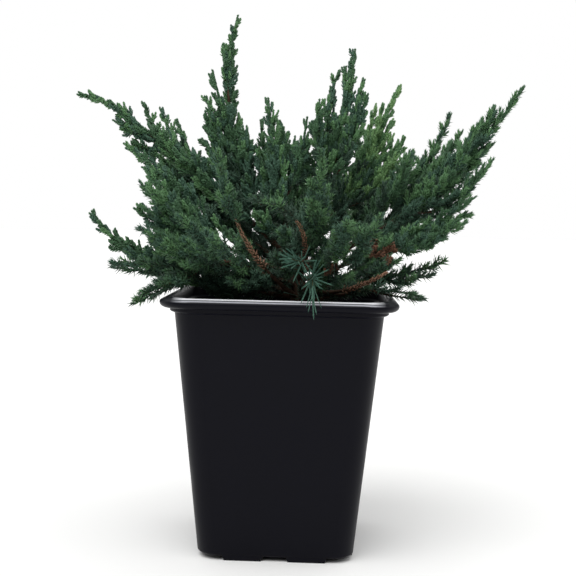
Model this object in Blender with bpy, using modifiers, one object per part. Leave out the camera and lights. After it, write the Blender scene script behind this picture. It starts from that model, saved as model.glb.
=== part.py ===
"""A young Chinese juniper in a square nursery pot, as named solids.

Units are metres and +Z is up. The origin is the middle of the pot's underside, at the level the pot
stands on, and the pot's front looks along -Y. The trunk stands on the soil. Boughs leave it all round, and
each mass of foliage grows on from its bough's tip, or from the trunk, as leaders clad with toothed shoots.
"""

import math
import random
from collections import namedtuple

import bmesh
import bpy
from mathutils import Quaternion, Vector

# Sizes of the pot
POT_HEIGHT = 0.2075
RIM_WIDTH = 0.184
BODY_TOP_WIDTH = 0.1614
BODY_BASE_WIDTH = 0.1244
WALL = 0.0015
RIM_CORNER = 0.027
BODY_CORNER = 0.020
BASE_CORNER = 0.017
BASE_FILLET = 0.0022
CORNER_STEPS = 5
STEP_OUT = 0.0036
STEP_DROP = 0.0125
STEP_RISE = 0.0016
FLANGE_FALL = 0.0020
LIP_DROP = 0.0068
LIP_ROUND = 0.0008
LIP_TUCK = 0.0036
TUCK_BULGE = 0.3
FOOT_HEIGHT = 0.0034
SIDE_FOOT = (0.0316, 0.012)
SIDE_FOOT_MIDDLE = 0.0245
FOOT_DRAFT = 0.88
CENTRE_FOOT_RADIUS = 0.015
CENTRE_FOOT_SIDES = 20
FOOT_SINK = 0.0007
DRAIN_RADIUS = 0.0055
DRAIN_OFFSET = 0.041
DRAIN_SIDES = 12

# Sizes of the soil
SOIL_DROP = 0.020
SOIL_TOP = POT_HEIGHT - SOIL_DROP
CLEARANCE = 0.0003
SOIL_CLEARANCE = 0.0005

# Sizes of the trunk
TRUNK_FOOT = Vector((0.014, 0.0, SOIL_TOP + CLEARANCE))
TRUNK_HEIGHT = 0.058
TRUNK_LEAN = Vector((-0.006, 0.004, 0.0))
TRUNK_RADIUS = 0.0072
TRUNK_TIP_RADIUS = 0.0046
ROOT_FLARE = 0.0042
FLARE_HEIGHT = 0.007
ROOT_LOBES = 4
LOBE_SHARE = 0.5
TRUNK_SIDES = 12
TRUNK_RINGS = (0.0, 0.003, 0.007, 0.014, 0.026, 0.042, TRUNK_HEIGHT)

# Sizes of the limbs and shoots
BOUGH_RADIUS = 0.0023
LEADER_RADIUS = 0.0013
TIP_RADIUS = 0.0006
BOUGH_POINTS = 5
END_SLANT = 0.35
LEADER_STEP = 0.0085
FEWEST_POINTS = 4
SIDE_BEND = 0.25
SHOOT_STEP = 0.0216
FIRST_STEP = (0.5, 0.9)
NEXT_STEP = (0.85, 1.15)
SHOOT_ANGLE = math.radians(44)
SHOOT_RISE = 0.30
SHOOT_RADIUS = 0.0010
SHOOT_SIZES = (0.85, 1.1)
SHORTEST_SHOOT = 0.011
LOW_SHOOT = 0.6
FULL_SHOOT_FROM = 0.25
SHOOT_TAPER = 0.7
END_BARE = 0.8
GOLDEN_ANGLE = math.radians(137.508)
WHORL_STEP = 0.0188
TOOTH_REACH = 0.0060
TOOTH_OVERHANG = 1.30
TIP_SHARE = 0.75
TIP_TAPER = 0.55
TEETH = 3
BARE_ROOT = 0.012
BARE_FOOT = 0.006
BARE_SHOOT = 0.004
SPACING = 0.0006
TESTED_SHARES = (0.35, 0.7, 1.0)
SEED = 1000
SEED_STEP = 100
TRIES = 12
WELD = 0.000002
TINY = 1e-12

# A leader runs from the trunk, or from its fork on the main leader, to its tip. azimuth is in degrees, with
# 0 to the right, 90 to the back and 270 to the front. reach and rise place the tip, measured from the
# trunk's foot. out is the share of the reach, and lift the height, at which the limb bends. spread is its
# longest shoot, and fork the share of the main leader where a side leader leaves it. turn is how many
# degrees round from its tip a limb's bend lies.
Leader = namedtuple("Leader", "azimuth reach rise out lift spread fork turn", defaults=(0.0, 0))

# A mass is its seat, which is the height at which its limb leaves the trunk, the share of its main leader
# that is bare bough, and its leaders, the main one first. A mass with no bare share meets the trunk itself.
Mass = namedtuple("Mass", "seat bare leaders")

MASSES = {
    "left_arch": Mass(0.046, 0.30, (
        Leader(183, 0.182, 0.177, 0.82, 0.179, 0.032),
        Leader(182, 0.151, 0.157, 0.83, 0.142, 0.016, 0.50),
    )),
    "left_crest": Mass(0.040, 0.34, (
        Leader(160, 0.134, 0.174, 0.62, 0.072, 0.030),
        Leader(172, 0.107, 0.161, 0.70, 0.077, 0.017, 0.46),
        Leader(169, 0.140, 0.176, 0.72, 0.087, 0.022, 0.42),
    )),
    "left_face": Mass(0.036, 0.30, (
        Leader(202, 0.131, 0.118, 0.65, 0.052, 0.032),
        Leader(191, 0.136, 0.086, 0.66, 0.052, 0.032, 0.48),
        Leader(186, 0.145, 0.138, 0.77, 0.119, 0.030, 0.42),
        Leader(196, 0.128, 0.104, 0.69, 0.074, 0.028, 0.40),
    )),
    "left_cushion": Mass(0.026, 0.28, (
        Leader(223, 0.124, 0.082, 0.61, 0.042, 0.033),
        Leader(237, 0.117, 0.067, 0.64, 0.044, 0.020, 0.55),
        Leader(201, 0.131, 0.067, 0.59, 0.034, 0.026, 0.40),
    )),
    "left_sweep": Mass(0.016, 0.24, (
        Leader(182, 0.174, 0.081, 0.72, 0.024, 0.038),
        Leader(183, 0.134, 0.046, 0.62, 0.035, 0.028, 0.45),
    )),
    "left_skirt": Mass(0.026, 0.0, (
        Leader(194, 0.154, 0.042, 0.57, 0.042, 0.024),
        Leader(203, 0.138, 0.015, 0.67, 0.050, 0.020, 0.42),
        Leader(208, 0.128, 0.018, 0.78, 0.028, 0.014, 0.50),
    )),
    "tall_spire": Mass(0.056, 0.20, (
        Leader(169, 0.057, 0.247, 1.47, 0.138, 0.034),
        Leader(172, 0.077, 0.201, 0.90, 0.163, 0.016, 0.46),
        Leader(174, 0.081, 0.179, 0.90, 0.140, 0.018, 0.36),
        Leader(174, 0.047, 0.155, 0.96, 0.107, 0.018, 0.34),
        Leader(172, 0.069, 0.220, 0.94, 0.195, 0.009, 0.66),
        Leader(174, 0.082, 0.167, 0.92, 0.121, 0.024, 0.30),
    )),
    "front_rosette": Mass(0.016, 0.42, (Leader(229, 0.096, 0.132, 0.90, 0.053, 0.034, 0.0, 5),)),
    "centre_spire": Mass(0.058, 0.0, (
        Leader(198, 0.030, 0.177, 0.70, 0.102, 0.032),
        Leader(107, 0.025, 0.149, 0.61, 0.092, 0.024, 0.42),
        Leader(150, 0.042, 0.162, 0.91, 0.092, 0.016, 0.36),
        Leader(166, 0.020, 0.160, 0.59, 0.104, 0.024, 0.45),
        Leader(0, 0.003, 0.163, 0.33, 0.104, 0.024, 0.38),
    )),
    "peak": Mass(0.054, 0.18, (
        Leader(0, 0.041, 0.219, 0.64, 0.113, 0.034),
        Leader(22, 0.030, 0.202, 0.50, 0.181, 0.014, 0.50),
        Leader(319, 0.017, 0.176, 0.38, 0.116, 0.028, 0.45),
        Leader(349, 0.048, 0.193, 0.90, 0.107, 0.026, 0.44),
        Leader(7, 0.034, 0.205, 1.06, 0.158, 0.010, 0.52),
        Leader(356, 0.052, 0.182, 0.86, 0.155, 0.010, 0.48),
    )),
    "peak_face": Mass(0.042, 0.36, (Leader(283, 0.077, 0.133, 0.66, 0.046, 0.033),)),
    "light_spire": Mass(0.048, 0.24, (
        Leader(29, 0.094, 0.197, 0.46, 0.091, 0.030),
        Leader(44, 0.086, 0.182, 0.80, 0.094, 0.024, 0.50),
        Leader(8, 0.085, 0.149, 0.80, 0.083, 0.024, 0.40),
        Leader(25, 0.083, 0.166, 0.83, 0.125, 0.028, 0.46),
        Leader(21, 0.085, 0.147, 0.92, 0.116, 0.024, 0.36),
    )),
    "right_crest": Mass(0.042, 0.28, (
        Leader(10, 0.126, 0.149, 0.65, 0.069, 0.024),
        Leader(14, 0.128, 0.172, 0.70, 0.075, 0.020, 0.46),
        Leader(352, 0.087, 0.137, 0.94, 0.093, 0.034, 0.32),
        Leader(0, 0.130, 0.155, 0.78, 0.086, 0.022, 0.45),
    )),
    "right_outer": Mass(0.036, 0.26, (
        Leader(356, 0.176, 0.190, 0.67, 0.093, 0.038),
        Leader(348, 0.141, 0.159, 0.80, 0.076, 0.024, 0.45),
        Leader(348, 0.154, 0.131, 0.78, 0.070, 0.022, 0.42),
    )),
    "right_lower": Mass(0.030, 0.26, (
        Leader(345, 0.142, 0.101, 0.67, 0.063, 0.028),
        Leader(338, 0.121, 0.067, 0.69, 0.051, 0.018, 0.44),
        Leader(341, 0.137, 0.081, 0.71, 0.058, 0.022, 0.50),
    )),
    "right_sweep": Mass(0.021, 0.24, (Leader(347, 0.119, 0.049, 0.72, 0.035, 0.022),)),
    "right_foot": Mass(0.010, 0.0, (Leader(331, 0.112, 0.021, 0.69, 0.034, 0.018),)),
    "front_spray": Mass(0.030, 0.26, (
        Leader(250, 0.098, 0.095, 0.86, 0.086, 0.026, 0.0, 33),
        Leader(265, 0.102, 0.054, 0.92, 0.043, 0.010, 0.20, 9),
    )),
    "front_hanging": Mass(0.010, 0.0, (Leader(276, 0.107, 0.025, 0.74, 0.054, 0.010, 0.0, 4),)),
    "front_right": Mass(0.020, 0.30, (
        Leader(306, 0.107, 0.086, 0.62, 0.041, 0.030),
        Leader(293, 0.094, 0.082, 0.66, 0.047, 0.026, 0.42),
    )),
    "back_left_crest": Mass(0.036, 0.28, (
        Leader(141, 0.141, 0.138, 0.62, 0.058, 0.032),
        Leader(125, 0.121, 0.135, 0.70, 0.062, 0.028, 0.44),
    )),
    "back_left_sweep": Mass(0.018, 0.26, (
        Leader(153, 0.166, 0.112, 0.64, 0.037, 0.030),
        Leader(141, 0.154, 0.058, 0.68, 0.033, 0.026, 0.40),
    )),
    "back_spire": Mass(0.052, 0.22, (
        Leader(95, 0.066, 0.148, 0.85, 0.083, 0.032),
        Leader(120, 0.064, 0.144, 0.90, 0.088, 0.026, 0.45),
        Leader(123, 0.066, 0.098, 0.67, 0.074, 0.026, 0.35),
    )),
    "back_fan": Mass(0.030, 0.28, (
        Leader(104, 0.141, 0.134, 0.62, 0.048, 0.032),
        Leader(87, 0.124, 0.110, 0.68, 0.051, 0.028, 0.42),
    )),
    "back_skirt": Mass(0.014, 0.0, (
        Leader(112, 0.157, 0.062, 0.60, 0.040, 0.026),
        Leader(93, 0.136, 0.039, 0.64, 0.049, 0.022, 0.44),
    )),
    "back_right_crest": Mass(0.038, 0.28, (
        Leader(46, 0.121, 0.149, 0.61, 0.059, 0.032),
        Leader(72, 0.111, 0.143, 0.70, 0.065, 0.026, 0.44),
    )),
    "back_right_sweep": Mass(0.020, 0.26, (
        Leader(36, 0.143, 0.103, 0.61, 0.036, 0.028),
        Leader(51, 0.141, 0.067, 0.66, 0.037, 0.026, 0.40),
    )),
}

# Colours, as red, green, blue, with the roughness of each surface
COLOURS = {
    "pot": ((0.012, 0.012, 0.017), 0.38),
    "soil": ((0.035, 0.022, 0.014), 0.95),
    "bark": ((0.150, 0.066, 0.036), 0.85),
    "foliage": ((0.045, 0.115, 0.058), 0.55),
}


def clear_scene():
    for item in list(bpy.data.objects):
        bpy.data.objects.remove(item, do_unlink=True)


def material(name):
    colour, roughness = COLOURS[name]
    made = bpy.data.materials.get(name) or bpy.data.materials.new(name)
    made.use_nodes = True
    shader = made.node_tree.nodes["Principled BSDF"]
    shader.inputs["Base Color"].default_value = (*colour, 1.0)
    shader.inputs["Roughness"].default_value = roughness
    shader.inputs["Metallic"].default_value = 0.0
    made.diffuse_color = (*colour, 1.0)
    return made


def collection(name):
    made = bpy.data.collections.new(name)
    bpy.context.scene.collection.children.link(made)
    return made


def mesh_object(name, mesh, home, surface):
    made = bpy.data.objects.new(name, mesh)
    home.objects.link(made)
    made.data.materials.clear()
    made.data.materials.append(material(surface))
    return made


def baked_mesh(item):
    """The object's mesh with its modifiers applied."""
    bpy.context.view_layer.update()
    return bpy.data.meshes.new_from_object(item.evaluated_get(bpy.context.evaluated_depsgraph_get()))


def loft(name, rings, closed_end=True, twisted=False):
    """A mesh through rings with the same count of points, each anticlockwise about the way they stack."""
    form = bmesh.new()
    rows = [[form.verts.new(point) for point in ring] for ring in rings]
    for low, high in zip(rows, rows[1:]):
        for i, corner in enumerate(low):
            after = (i + 1) % len(low)
            if twisted:
                form.faces.new((corner, low[after], high[i]))
                form.faces.new((low[after], high[after], high[i]))
            else:
                form.faces.new((corner, low[after], high[after], high[i]))
    form.faces.new(reversed(rows[0]))
    if closed_end:
        form.faces.new(rows[-1])
    mesh = bpy.data.meshes.new(name)
    form.to_mesh(mesh)
    form.free()
    return mesh


def joined(name, pieces, home, surface, solver="MANIFOLD"):
    """One solid from overlapping pieces. The pieces are removed."""
    first, *rest = pieces
    if not rest:
        first.name = name
        return first
    others = collection(name + "_pieces")
    for piece in rest:
        for user in list(piece.users_collection):
            user.objects.unlink(piece)
        others.objects.link(piece)
    union = first.modifiers.new("Union", "BOOLEAN")
    union.operation = "UNION"
    union.operand_type = "COLLECTION"
    union.collection = others
    union.solver = solver
    mesh = baked_mesh(first)
    for piece in pieces:
        bpy.data.objects.remove(piece, do_unlink=True)
    bpy.data.collections.remove(others)
    keep_largest(mesh)
    mesh.name = name
    return mesh_object(name, mesh, home, surface)


def keep_largest(mesh):
    """Drops sealed hollows and loose scraps, so that the mesh is its largest closed surface."""
    form = bmesh.new()
    form.from_mesh(mesh)
    bmesh.ops.remove_doubles(form, verts=form.verts, dist=WELD)
    bmesh.ops.dissolve_degenerate(form, edges=form.edges, dist=WELD)
    islands, seen = [], set()
    for face in form.faces:
        if face in seen:
            continue
        island, stack = [], [face]
        seen.add(face)
        while stack:
            current = stack.pop()
            island.append(current)
            for edge in current.edges:
                for neighbour in edge.link_faces:
                    if neighbour not in seen:
                        seen.add(neighbour)
                        stack.append(neighbour)
        islands.append(island)
    islands.sort(key=len)
    for island in islands[:-1]:
        bmesh.ops.delete(form, geom=island, context="FACES")
    form.to_mesh(mesh)
    form.free()


def is_closed(mesh):
    """True where each edge has exactly two faces, so that the surface doesn't touch itself."""
    form = bmesh.new()
    form.from_mesh(mesh)
    closed = all(len(edge.link_faces) == 2 for edge in form.edges)
    form.free()
    return closed


# The pot

def rounded_square(half, corner, height):
    """Points round a square with round corners, anticlockwise seen from above."""
    points = []
    for quarter in range(4):
        turn = quarter * math.pi / 2
        centre = Vector((half - corner, half - corner))
        for step in range(CORNER_STEPS + 1):
            angle = step / CORNER_STEPS * math.pi / 2
            x = centre.x + corner * math.cos(angle)
            y = centre.y + corner * math.sin(angle)
            points.append(Vector((
                x * math.cos(turn) - y * math.sin(turn),
                x * math.sin(turn) + y * math.cos(turn),
                height,
            )))
    return points


def body_half_width(height):
    """Half the width of the pot's outer wall at a height."""
    low, high = FOOT_HEIGHT + BASE_FILLET, POT_HEIGHT - STEP_DROP
    share = (height - low) / (high - low)
    return (BODY_BASE_WIDTH + (BODY_TOP_WIDTH - BODY_BASE_WIDTH) * share) / 2


def box_foot(name, middle, size):
    """One foot: a block that narrows downwards, sunk a little into the floor above it."""
    bpy.ops.mesh.primitive_cube_add(size=1)
    foot = bpy.context.object
    foot.name = name
    top = FOOT_HEIGHT + FOOT_SINK
    for vertex in foot.data.vertices:
        draft = FOOT_DRAFT if vertex.co.z < 0 else 1.0
        vertex.co.x *= size[0] * draft
        vertex.co.y *= size[1] * draft
        vertex.co.z = 0.0 if vertex.co.z < 0 else top
        vertex.co.x += middle[0]
        vertex.co.y += middle[1]
    return foot


def pot_wall(home):
    """The moulded shell, one even wall thick: floor, sides, the small step below the rim, flange and lip."""
    step_low = POT_HEIGHT - STEP_DROP
    flange_top = POT_HEIGHT - WALL
    flange_end = flange_top - FLANGE_FALL
    lip_end = POT_HEIGHT - LIP_DROP
    base_half = BODY_BASE_WIDTH / 2
    step_half = body_half_width(step_low) + STEP_OUT
    step_corner = BODY_CORNER + STEP_OUT
    rim_half = RIM_WIDTH / 2 - WALL
    bulge = LIP_TUCK * TUCK_BULGE
    lip_middle = lip_end + (flange_end - LIP_ROUND - lip_end) * TUCK_BULGE
    rings = [
        rounded_square(base_half - BASE_FILLET, BASE_CORNER, FOOT_HEIGHT),
        rounded_square(base_half, BASE_CORNER, FOOT_HEIGHT + BASE_FILLET),
        rounded_square(body_half_width(step_low), BODY_CORNER, step_low),
        rounded_square(step_half, step_corner, step_low + STEP_RISE),
        rounded_square(step_half, step_corner, flange_top),
        rounded_square(rim_half - LIP_ROUND, RIM_CORNER - LIP_ROUND, flange_end),
        rounded_square(rim_half, RIM_CORNER, flange_end - LIP_ROUND),
        rounded_square(rim_half - bulge, RIM_CORNER - bulge, lip_middle),
        rounded_square(rim_half - LIP_TUCK, RIM_CORNER - LIP_TUCK, lip_end),
    ]
    shell = mesh_object("pot_shell", loft("pot_shell", rings, closed_end=False), home, "pot")
    wall = shell.modifiers.new("Wall", "SOLIDIFY")
    wall.thickness = WALL
    wall.offset = -1.0
    wall.use_even_offset = True
    made = mesh_object("pot_wall", baked_mesh(shell), home, "pot")
    bpy.data.objects.remove(shell, do_unlink=True)
    for vertex in made.data.vertices:
        vertex.co.z = min(vertex.co.z, POT_HEIGHT)
    return made


def pot_feet():
    """Two bar feet along each side and a round one in the middle."""
    depth = (BODY_BASE_WIDTH - SIDE_FOOT[1]) / 2 - BASE_FILLET
    feet = []
    for side in range(4):
        across = side % 2
        reach = -depth if side < 2 else depth
        for place in (-SIDE_FOOT_MIDDLE, SIDE_FOOT_MIDDLE):
            middle = (reach, place) if across else (place, reach)
            size = SIDE_FOOT[::-1] if across else SIDE_FOOT
            feet.append(box_foot(f"foot_{side}_{place > 0}", middle, size))
    height = FOOT_HEIGHT + FOOT_SINK
    bpy.ops.mesh.primitive_cone_add(
        vertices=CENTRE_FOOT_SIDES, radius1=CENTRE_FOOT_RADIUS * FOOT_DRAFT, radius2=CENTRE_FOOT_RADIUS,
        depth=height, location=(0, 0, height / 2),
    )
    centre = bpy.context.object
    centre.data.transform(centre.matrix_world)
    centre.matrix_world.identity()
    return [*feet, centre]


def cut_drains(made):
    """The four round drain holes in the floor."""
    drains = collection("drain_cutters")
    for x in (-DRAIN_OFFSET, DRAIN_OFFSET):
        for y in (-DRAIN_OFFSET, DRAIN_OFFSET):
            bpy.ops.mesh.primitive_cylinder_add(
                vertices=DRAIN_SIDES, radius=DRAIN_RADIUS, depth=4 * FOOT_HEIGHT,
                location=(x, y, FOOT_HEIGHT),
            )
            cutter = bpy.context.object
            bpy.context.collection.objects.unlink(cutter)
            drains.objects.link(cutter)
    holes = made.modifiers.new("Drains", "BOOLEAN")
    holes.operation = "DIFFERENCE"
    holes.operand_type = "COLLECTION"
    holes.collection = drains
    cut = baked_mesh(made)
    made.modifiers.clear()
    made.data = cut
    for cutter in list(drains.objects):
        bpy.data.objects.remove(cutter, do_unlink=True)
    bpy.data.collections.remove(drains)


def pot(home):
    made = joined("pot", [pot_wall(home), *pot_feet()], home, "pot")
    cut_drains(made)
    made.data.materials.clear()
    made.data.materials.append(material("pot"))


def soil(home):
    """The root ball: potting mix that fills the pot from its floor to a little below the rim."""
    inset = WALL + SOIL_CLEARANCE
    low = FOOT_HEIGHT + WALL + CLEARANCE
    shoulder = low + BASE_FILLET
    rings = [
        rounded_square(body_half_width(low) - inset - BASE_FILLET, BASE_CORNER - inset, low),
        rounded_square(body_half_width(shoulder) - inset, BASE_CORNER - inset, shoulder),
        rounded_square(body_half_width(SOIL_TOP) - inset, BODY_CORNER - inset, SOIL_TOP),
    ]
    return mesh_object("soil", loft("soil", rings), home, "soil")


# The limbs

def trunk_axis(height):
    share = height / TRUNK_HEIGHT
    return TRUNK_FOOT + TRUNK_LEAN * share * share + Vector((0, 0, height))


def trunk_radius(height):
    share = height / TRUNK_HEIGHT
    flare = ROOT_FLARE * math.exp(-height / FLARE_HEIGHT)
    return TRUNK_RADIUS + (TRUNK_TIP_RADIUS - TRUNK_RADIUS) * share + flare


def trunk_face(height, azimuth):
    """How far the trunk's faceted side stands from its axis in one direction."""
    facet = 2 * math.pi / TRUNK_SIDES
    from_middle = math.radians(azimuth) % facet - facet / 2
    return trunk_radius(height) * math.cos(facet / 2) / math.cos(from_middle)


def trunk(home):
    """The short main stem, from a foot with lobes where the roots leave it to a flat top among the limbs."""
    rings = []
    for height in TRUNK_RINGS:
        flare = trunk_radius(height) - trunk_radius(TRUNK_HEIGHT)
        depth = LOBE_SHARE * flare / TRUNK_RADIUS * math.exp(-height / FLARE_HEIGHT)
        ring = []
        for side in range(TRUNK_SIDES):
            angle = 2 * math.pi * side / TRUNK_SIDES
            radius = trunk_radius(height) * (1 + depth * math.cos(ROOT_LOBES * angle))
            ring.append(trunk_axis(height) + Vector((radius * math.cos(angle), radius * math.sin(angle), 0)))
        rings.append(ring)
    return mesh_object("trunk", loft("trunk", rings), home, "bark")


def heading(azimuth):
    angle = math.radians(azimuth)
    return Vector((math.cos(angle), math.sin(angle), 0))


def bent(start, bend, end, count, first=0.0, last=1.0):
    """Points along the curve that leaves start towards bend and comes into end."""
    points = []
    for i in range(count):
        t = first + (last - first) * i / (count - 1)
        points.append(start * (1 - t) ** 2 + bend * 2 * t * (1 - t) + end * t * t)
    return points


def bend_and_tip(leader):
    """Where a leader bends and where it ends."""
    bend_way = heading(leader.azimuth + leader.turn)
    bend = TRUNK_FOOT + bend_way * leader.reach * leader.out + Vector((0, 0, leader.lift))
    return bend, TRUNK_FOOT + heading(leader.azimuth) * leader.reach + Vector((0, 0, leader.rise))


def main_curve(mass):
    """Start, bend and tip of a mass's main leader, from its seat on the trunk."""
    leader = mass.leaders[0]
    way = heading(leader.azimuth + leader.turn)
    bend, tip = bend_and_tip(leader)
    if mass.seat >= TRUNK_HEIGHT:
        return trunk_axis(TRUNK_HEIGHT) + Vector((0, 0, CLEARANCE)), bend, tip
    centre = trunk_axis(mass.seat)
    slope = (bend - centre).normalized()
    root = BOUGH_RADIUS if mass.bare else LEADER_RADIUS
    overhang = max(0.0, (trunk_axis(mass.seat + root) - centre).dot(way))
    face = trunk_face(mass.seat, leader.azimuth + leader.turn) + overhang
    stand_off = face + CLEARANCE + root * abs(slope.z)
    return centre + way * stand_off, bend, tip


def side_curve(mass, leader):
    """Start, bend and tip of a side leader, which starts inside the main one."""
    start, bend, tip = main_curve(mass)
    fork = bent(start, bend, tip, 2, leader.fork, leader.fork + 0.01)[0]
    own_bend, own_tip = bend_and_tip(leader)
    return fork, own_bend.lerp(fork, SIDE_BEND), own_tip


def length_of(points):
    return sum((b - a).length for a, b in zip(points, points[1:]))


def bough(name, mass, home):
    """One bare tapering limb, from the trunk to where it enters its mass."""
    start, bend, tip = main_curve(mass)
    points = bent(start, bend, tip, BOUGH_POINTS, 0.0, mass.bare)
    curve = bpy.data.curves.new(name, "CURVE")
    curve.dimensions = "3D"
    curve.bevel_depth = BOUGH_RADIUS
    curve.bevel_resolution = 1
    curve.use_fill_caps = True
    spline = curve.splines.new("POLY")
    spline.points.add(len(points) - 1)
    for i, (place, point) in enumerate(zip(spline.points, points)):
        place.co = (*point, 1.0)
        place.radius = 1 + (LEADER_RADIUS / BOUGH_RADIUS - 1) * i / (len(points) - 1)
    made = bpy.data.objects.new(name, curve)
    home.objects.link(made)
    made.data.materials.append(material("bark"))
    return made


# The foliage

def frames_along(points):
    """At each point, the way on and a side direction that turns as little as it can."""
    last = len(points) - 1
    ways = [(points[min(i + 1, last)] - points[max(i - 1, 0)]).normalized() for i in range(len(points))]
    side = ways[0].orthogonal().normalized()
    frames = []
    for i, way in enumerate(ways):
        if i:
            side = ways[i - 1].rotation_difference(way) @ side
        side = (side - way * side.dot(way)).normalized()
        frames.append((way, side))
    return frames


def ring_about(centre, way, side, radius, turn):
    step = 2 * math.pi / TEETH
    return [centre + radius * (Quaternion(way, turn + step * i) @ side) for i in range(TEETH)]


def place_along(points, distance):
    """The point, way and side that far along a path."""
    frames = frames_along(points)
    for i, (a, b) in enumerate(zip(points, points[1:])):
        step = (b - a).length
        if distance <= step or i == len(points) - 2:
            share = min(1.0, distance / step)
            way = frames[i][0].lerp(frames[i + 1][0], share).normalized()
            side = frames[i][1].lerp(frames[i + 1][1], share)
            return a.lerp(b, share), way, (side - way * side.dot(way)).normalized()
        distance -= step


def toothed_core(name, points, radius, tip_radius, bare, home):
    """A slim tapering stem clad in whorls of needles, whose tips overhang the narrow waists between."""
    length = length_of(points)
    whorls = max(1, round((length - bare) / WHORL_STEP))
    step = (length - bare) / (whorls + TIP_SHARE)
    stations = [(0.0, radius, 0.0)]
    for whorl in range(whorls):
        place = bare + whorl * step
        waist = radius + (tip_radius - radius) * place / length
        size = 1.0 - TIP_TAPER * (place / length) ** 2
        stations.append((place, waist, math.pi / TEETH))
        stations.append((place + TOOTH_OVERHANG * step, waist + TOOTH_REACH * size, math.pi / TEETH))
    stations.append((length, tip_radius, math.pi / TEETH))
    rings = []
    turn = 0.0
    for place, reach, twist in stations:
        centre, way, side = place_along(points, place)
        turn += twist
        rings.append(ring_about(centre, way, side, reach, turn))
    return mesh_object(name, loft(name, rings, twisted=True), home, "foliage")


def gap_between(a, b, c, d):
    """The shortest distance between segments ab and cd."""
    u, v, w = b - a, d - c, a - c
    uu, uv, vv, uw, vw = u.dot(u), u.dot(v), v.dot(v), u.dot(w), v.dot(w)
    det = uu * vv - uv * uv
    s = min(1.0, max(0.0, (uv * vw - vv * uw) / det)) if det > TINY else 0.0
    t = min(1.0, max(0.0, (uv * s + vw) / vv)) if vv > TINY else 0.0
    s = min(1.0, max(0.0, (uv * t - uw) / uu)) if uu > TINY else 0.0
    return (w + u * s - v * t).length


def meets_pot(point, radius):
    """True where a ball of that radius round the point would touch the pot or the soil."""
    across = max(abs(point.x), abs(point.y))
    if across > RIM_WIDTH / 2 + radius or point.z > POT_HEIGHT + radius:
        return False
    inside = across < body_half_width(SOIL_TOP) - WALL - radius
    return not inside or point.z < SOIL_TOP + radius + SPACING


def leader_paths(mass):
    """The path of each leader's part outside the bough."""
    start, bend, tip = main_curve(mass)
    reach = (tip - start).length
    gap = (CLEARANCE + LEADER_RADIUS * END_SLANT) / reach if mass.bare else 0.0
    count = max(FEWEST_POINTS, round(reach * (1 - mass.bare) / LEADER_STEP))
    paths = [bent(start, bend, tip, count, mass.bare + gap, 1.0)]
    for leader in mass.leaders[1:]:
        count = max(FEWEST_POINTS, round(leader.reach / LEADER_STEP / 2))
        paths.append(bent(*side_curve(mass, leader), count))
    return paths


def shoot_plan(points, leader, rng):
    """The shoots along one leader, by the golden angle round it and shorter and shorter towards its tip."""
    length = length_of(points)
    plan = []
    turn = rng.uniform(0, 2 * math.pi)
    place = SHOOT_STEP * rng.uniform(*FIRST_STEP)
    while place < length - SHORTEST_SHOOT * END_BARE:
        share = place / length
        grown = LOW_SHOOT + (1 - LOW_SHOOT) * min(1.0, share / FULL_SHOOT_FROM)
        size = leader.spread * (1 - share) ** SHOOT_TAPER * grown * rng.uniform(*SHOOT_SIZES)
        start, way, side = place_along(points, place)
        turn += GOLDEN_ANGLE
        out = Quaternion(way, turn) @ side
        aim = (way * math.cos(SHOOT_ANGLE) + out * math.sin(SHOOT_ANGLE)).normalized()
        aim = (aim + Vector((0, 0, SHOOT_RISE)) * (1 - abs(aim.z))).normalized()
        if size >= SHORTEST_SHOOT:
            plan.append((start, aim, size))
        place += SHOOT_STEP * rng.uniform(*NEXT_STEP)
    return plan


def limbs_taken(paths):
    """For each limb, bough or mass, the straight spans that it fills, each with its reach to the side."""
    taken = {}
    for name, mass in MASSES.items():
        if mass.bare:
            points = bent(*main_curve(mass), BOUGH_POINTS, 0.0, mass.bare)
            taken["bough_" + name] = [(a, b, BOUGH_RADIUS) for a, b in zip(points, points[1:])]
        taken[name] = [
            (a, b, LEADER_RADIUS + TOOTH_REACH)
            for points in paths[name] for a, b in zip(points, points[1:])
        ]
    taken["trunk"] = [
        (trunk_axis(a), trunk_axis(b), trunk_radius(a)) for a, b in zip(TRUNK_RINGS, TRUNK_RINGS[1:])
    ]
    return taken


def has_room(start, end, name, taken):
    """True where a shoot of that mass keeps clear of the pot, of every limb and of every other mass."""
    ball = SHOOT_RADIUS + TOOTH_REACH
    if any(meets_pot(start.lerp(end, share), ball) for share in TESTED_SHARES):
        return False
    return not any(
        gap_between(start, end, a, b) < ball + radius + SPACING
        for other, spans in taken.items() if other != name
        for a, b, radius in spans
    )


def mass_solid(name, mass, paths, taken, seed, home):
    """One mass: its leaders, and the shoots that have room. Gives the solid and the spans of its shoots."""
    rng = random.Random(seed)
    pieces = []
    for number, points in enumerate(paths):
        bare = BARE_FOOT if number or mass.bare else BARE_ROOT
        pieces.append(toothed_core(f"{name}_leader_{number}", points, LEADER_RADIUS, TIP_RADIUS, bare, home))
    spans = []
    for number, (points, leader) in enumerate(zip(paths, mass.leaders)):
        for count, (start, aim, size) in enumerate(shoot_plan(points, leader, rng)):
            end = start + aim * size
            if not has_room(start, end, name, taken):
                continue
            spans.append((start, end, SHOOT_RADIUS + TOOTH_REACH))
            shoot = [start, start.lerp(end, 0.5), end]
            pieces.append(toothed_core(
                f"{name}_shoot_{number}_{count}", shoot, SHOOT_RADIUS, TIP_RADIUS, BARE_SHOOT, home,
            ))
    return joined(name, pieces, home, "foliage"), spans


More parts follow.
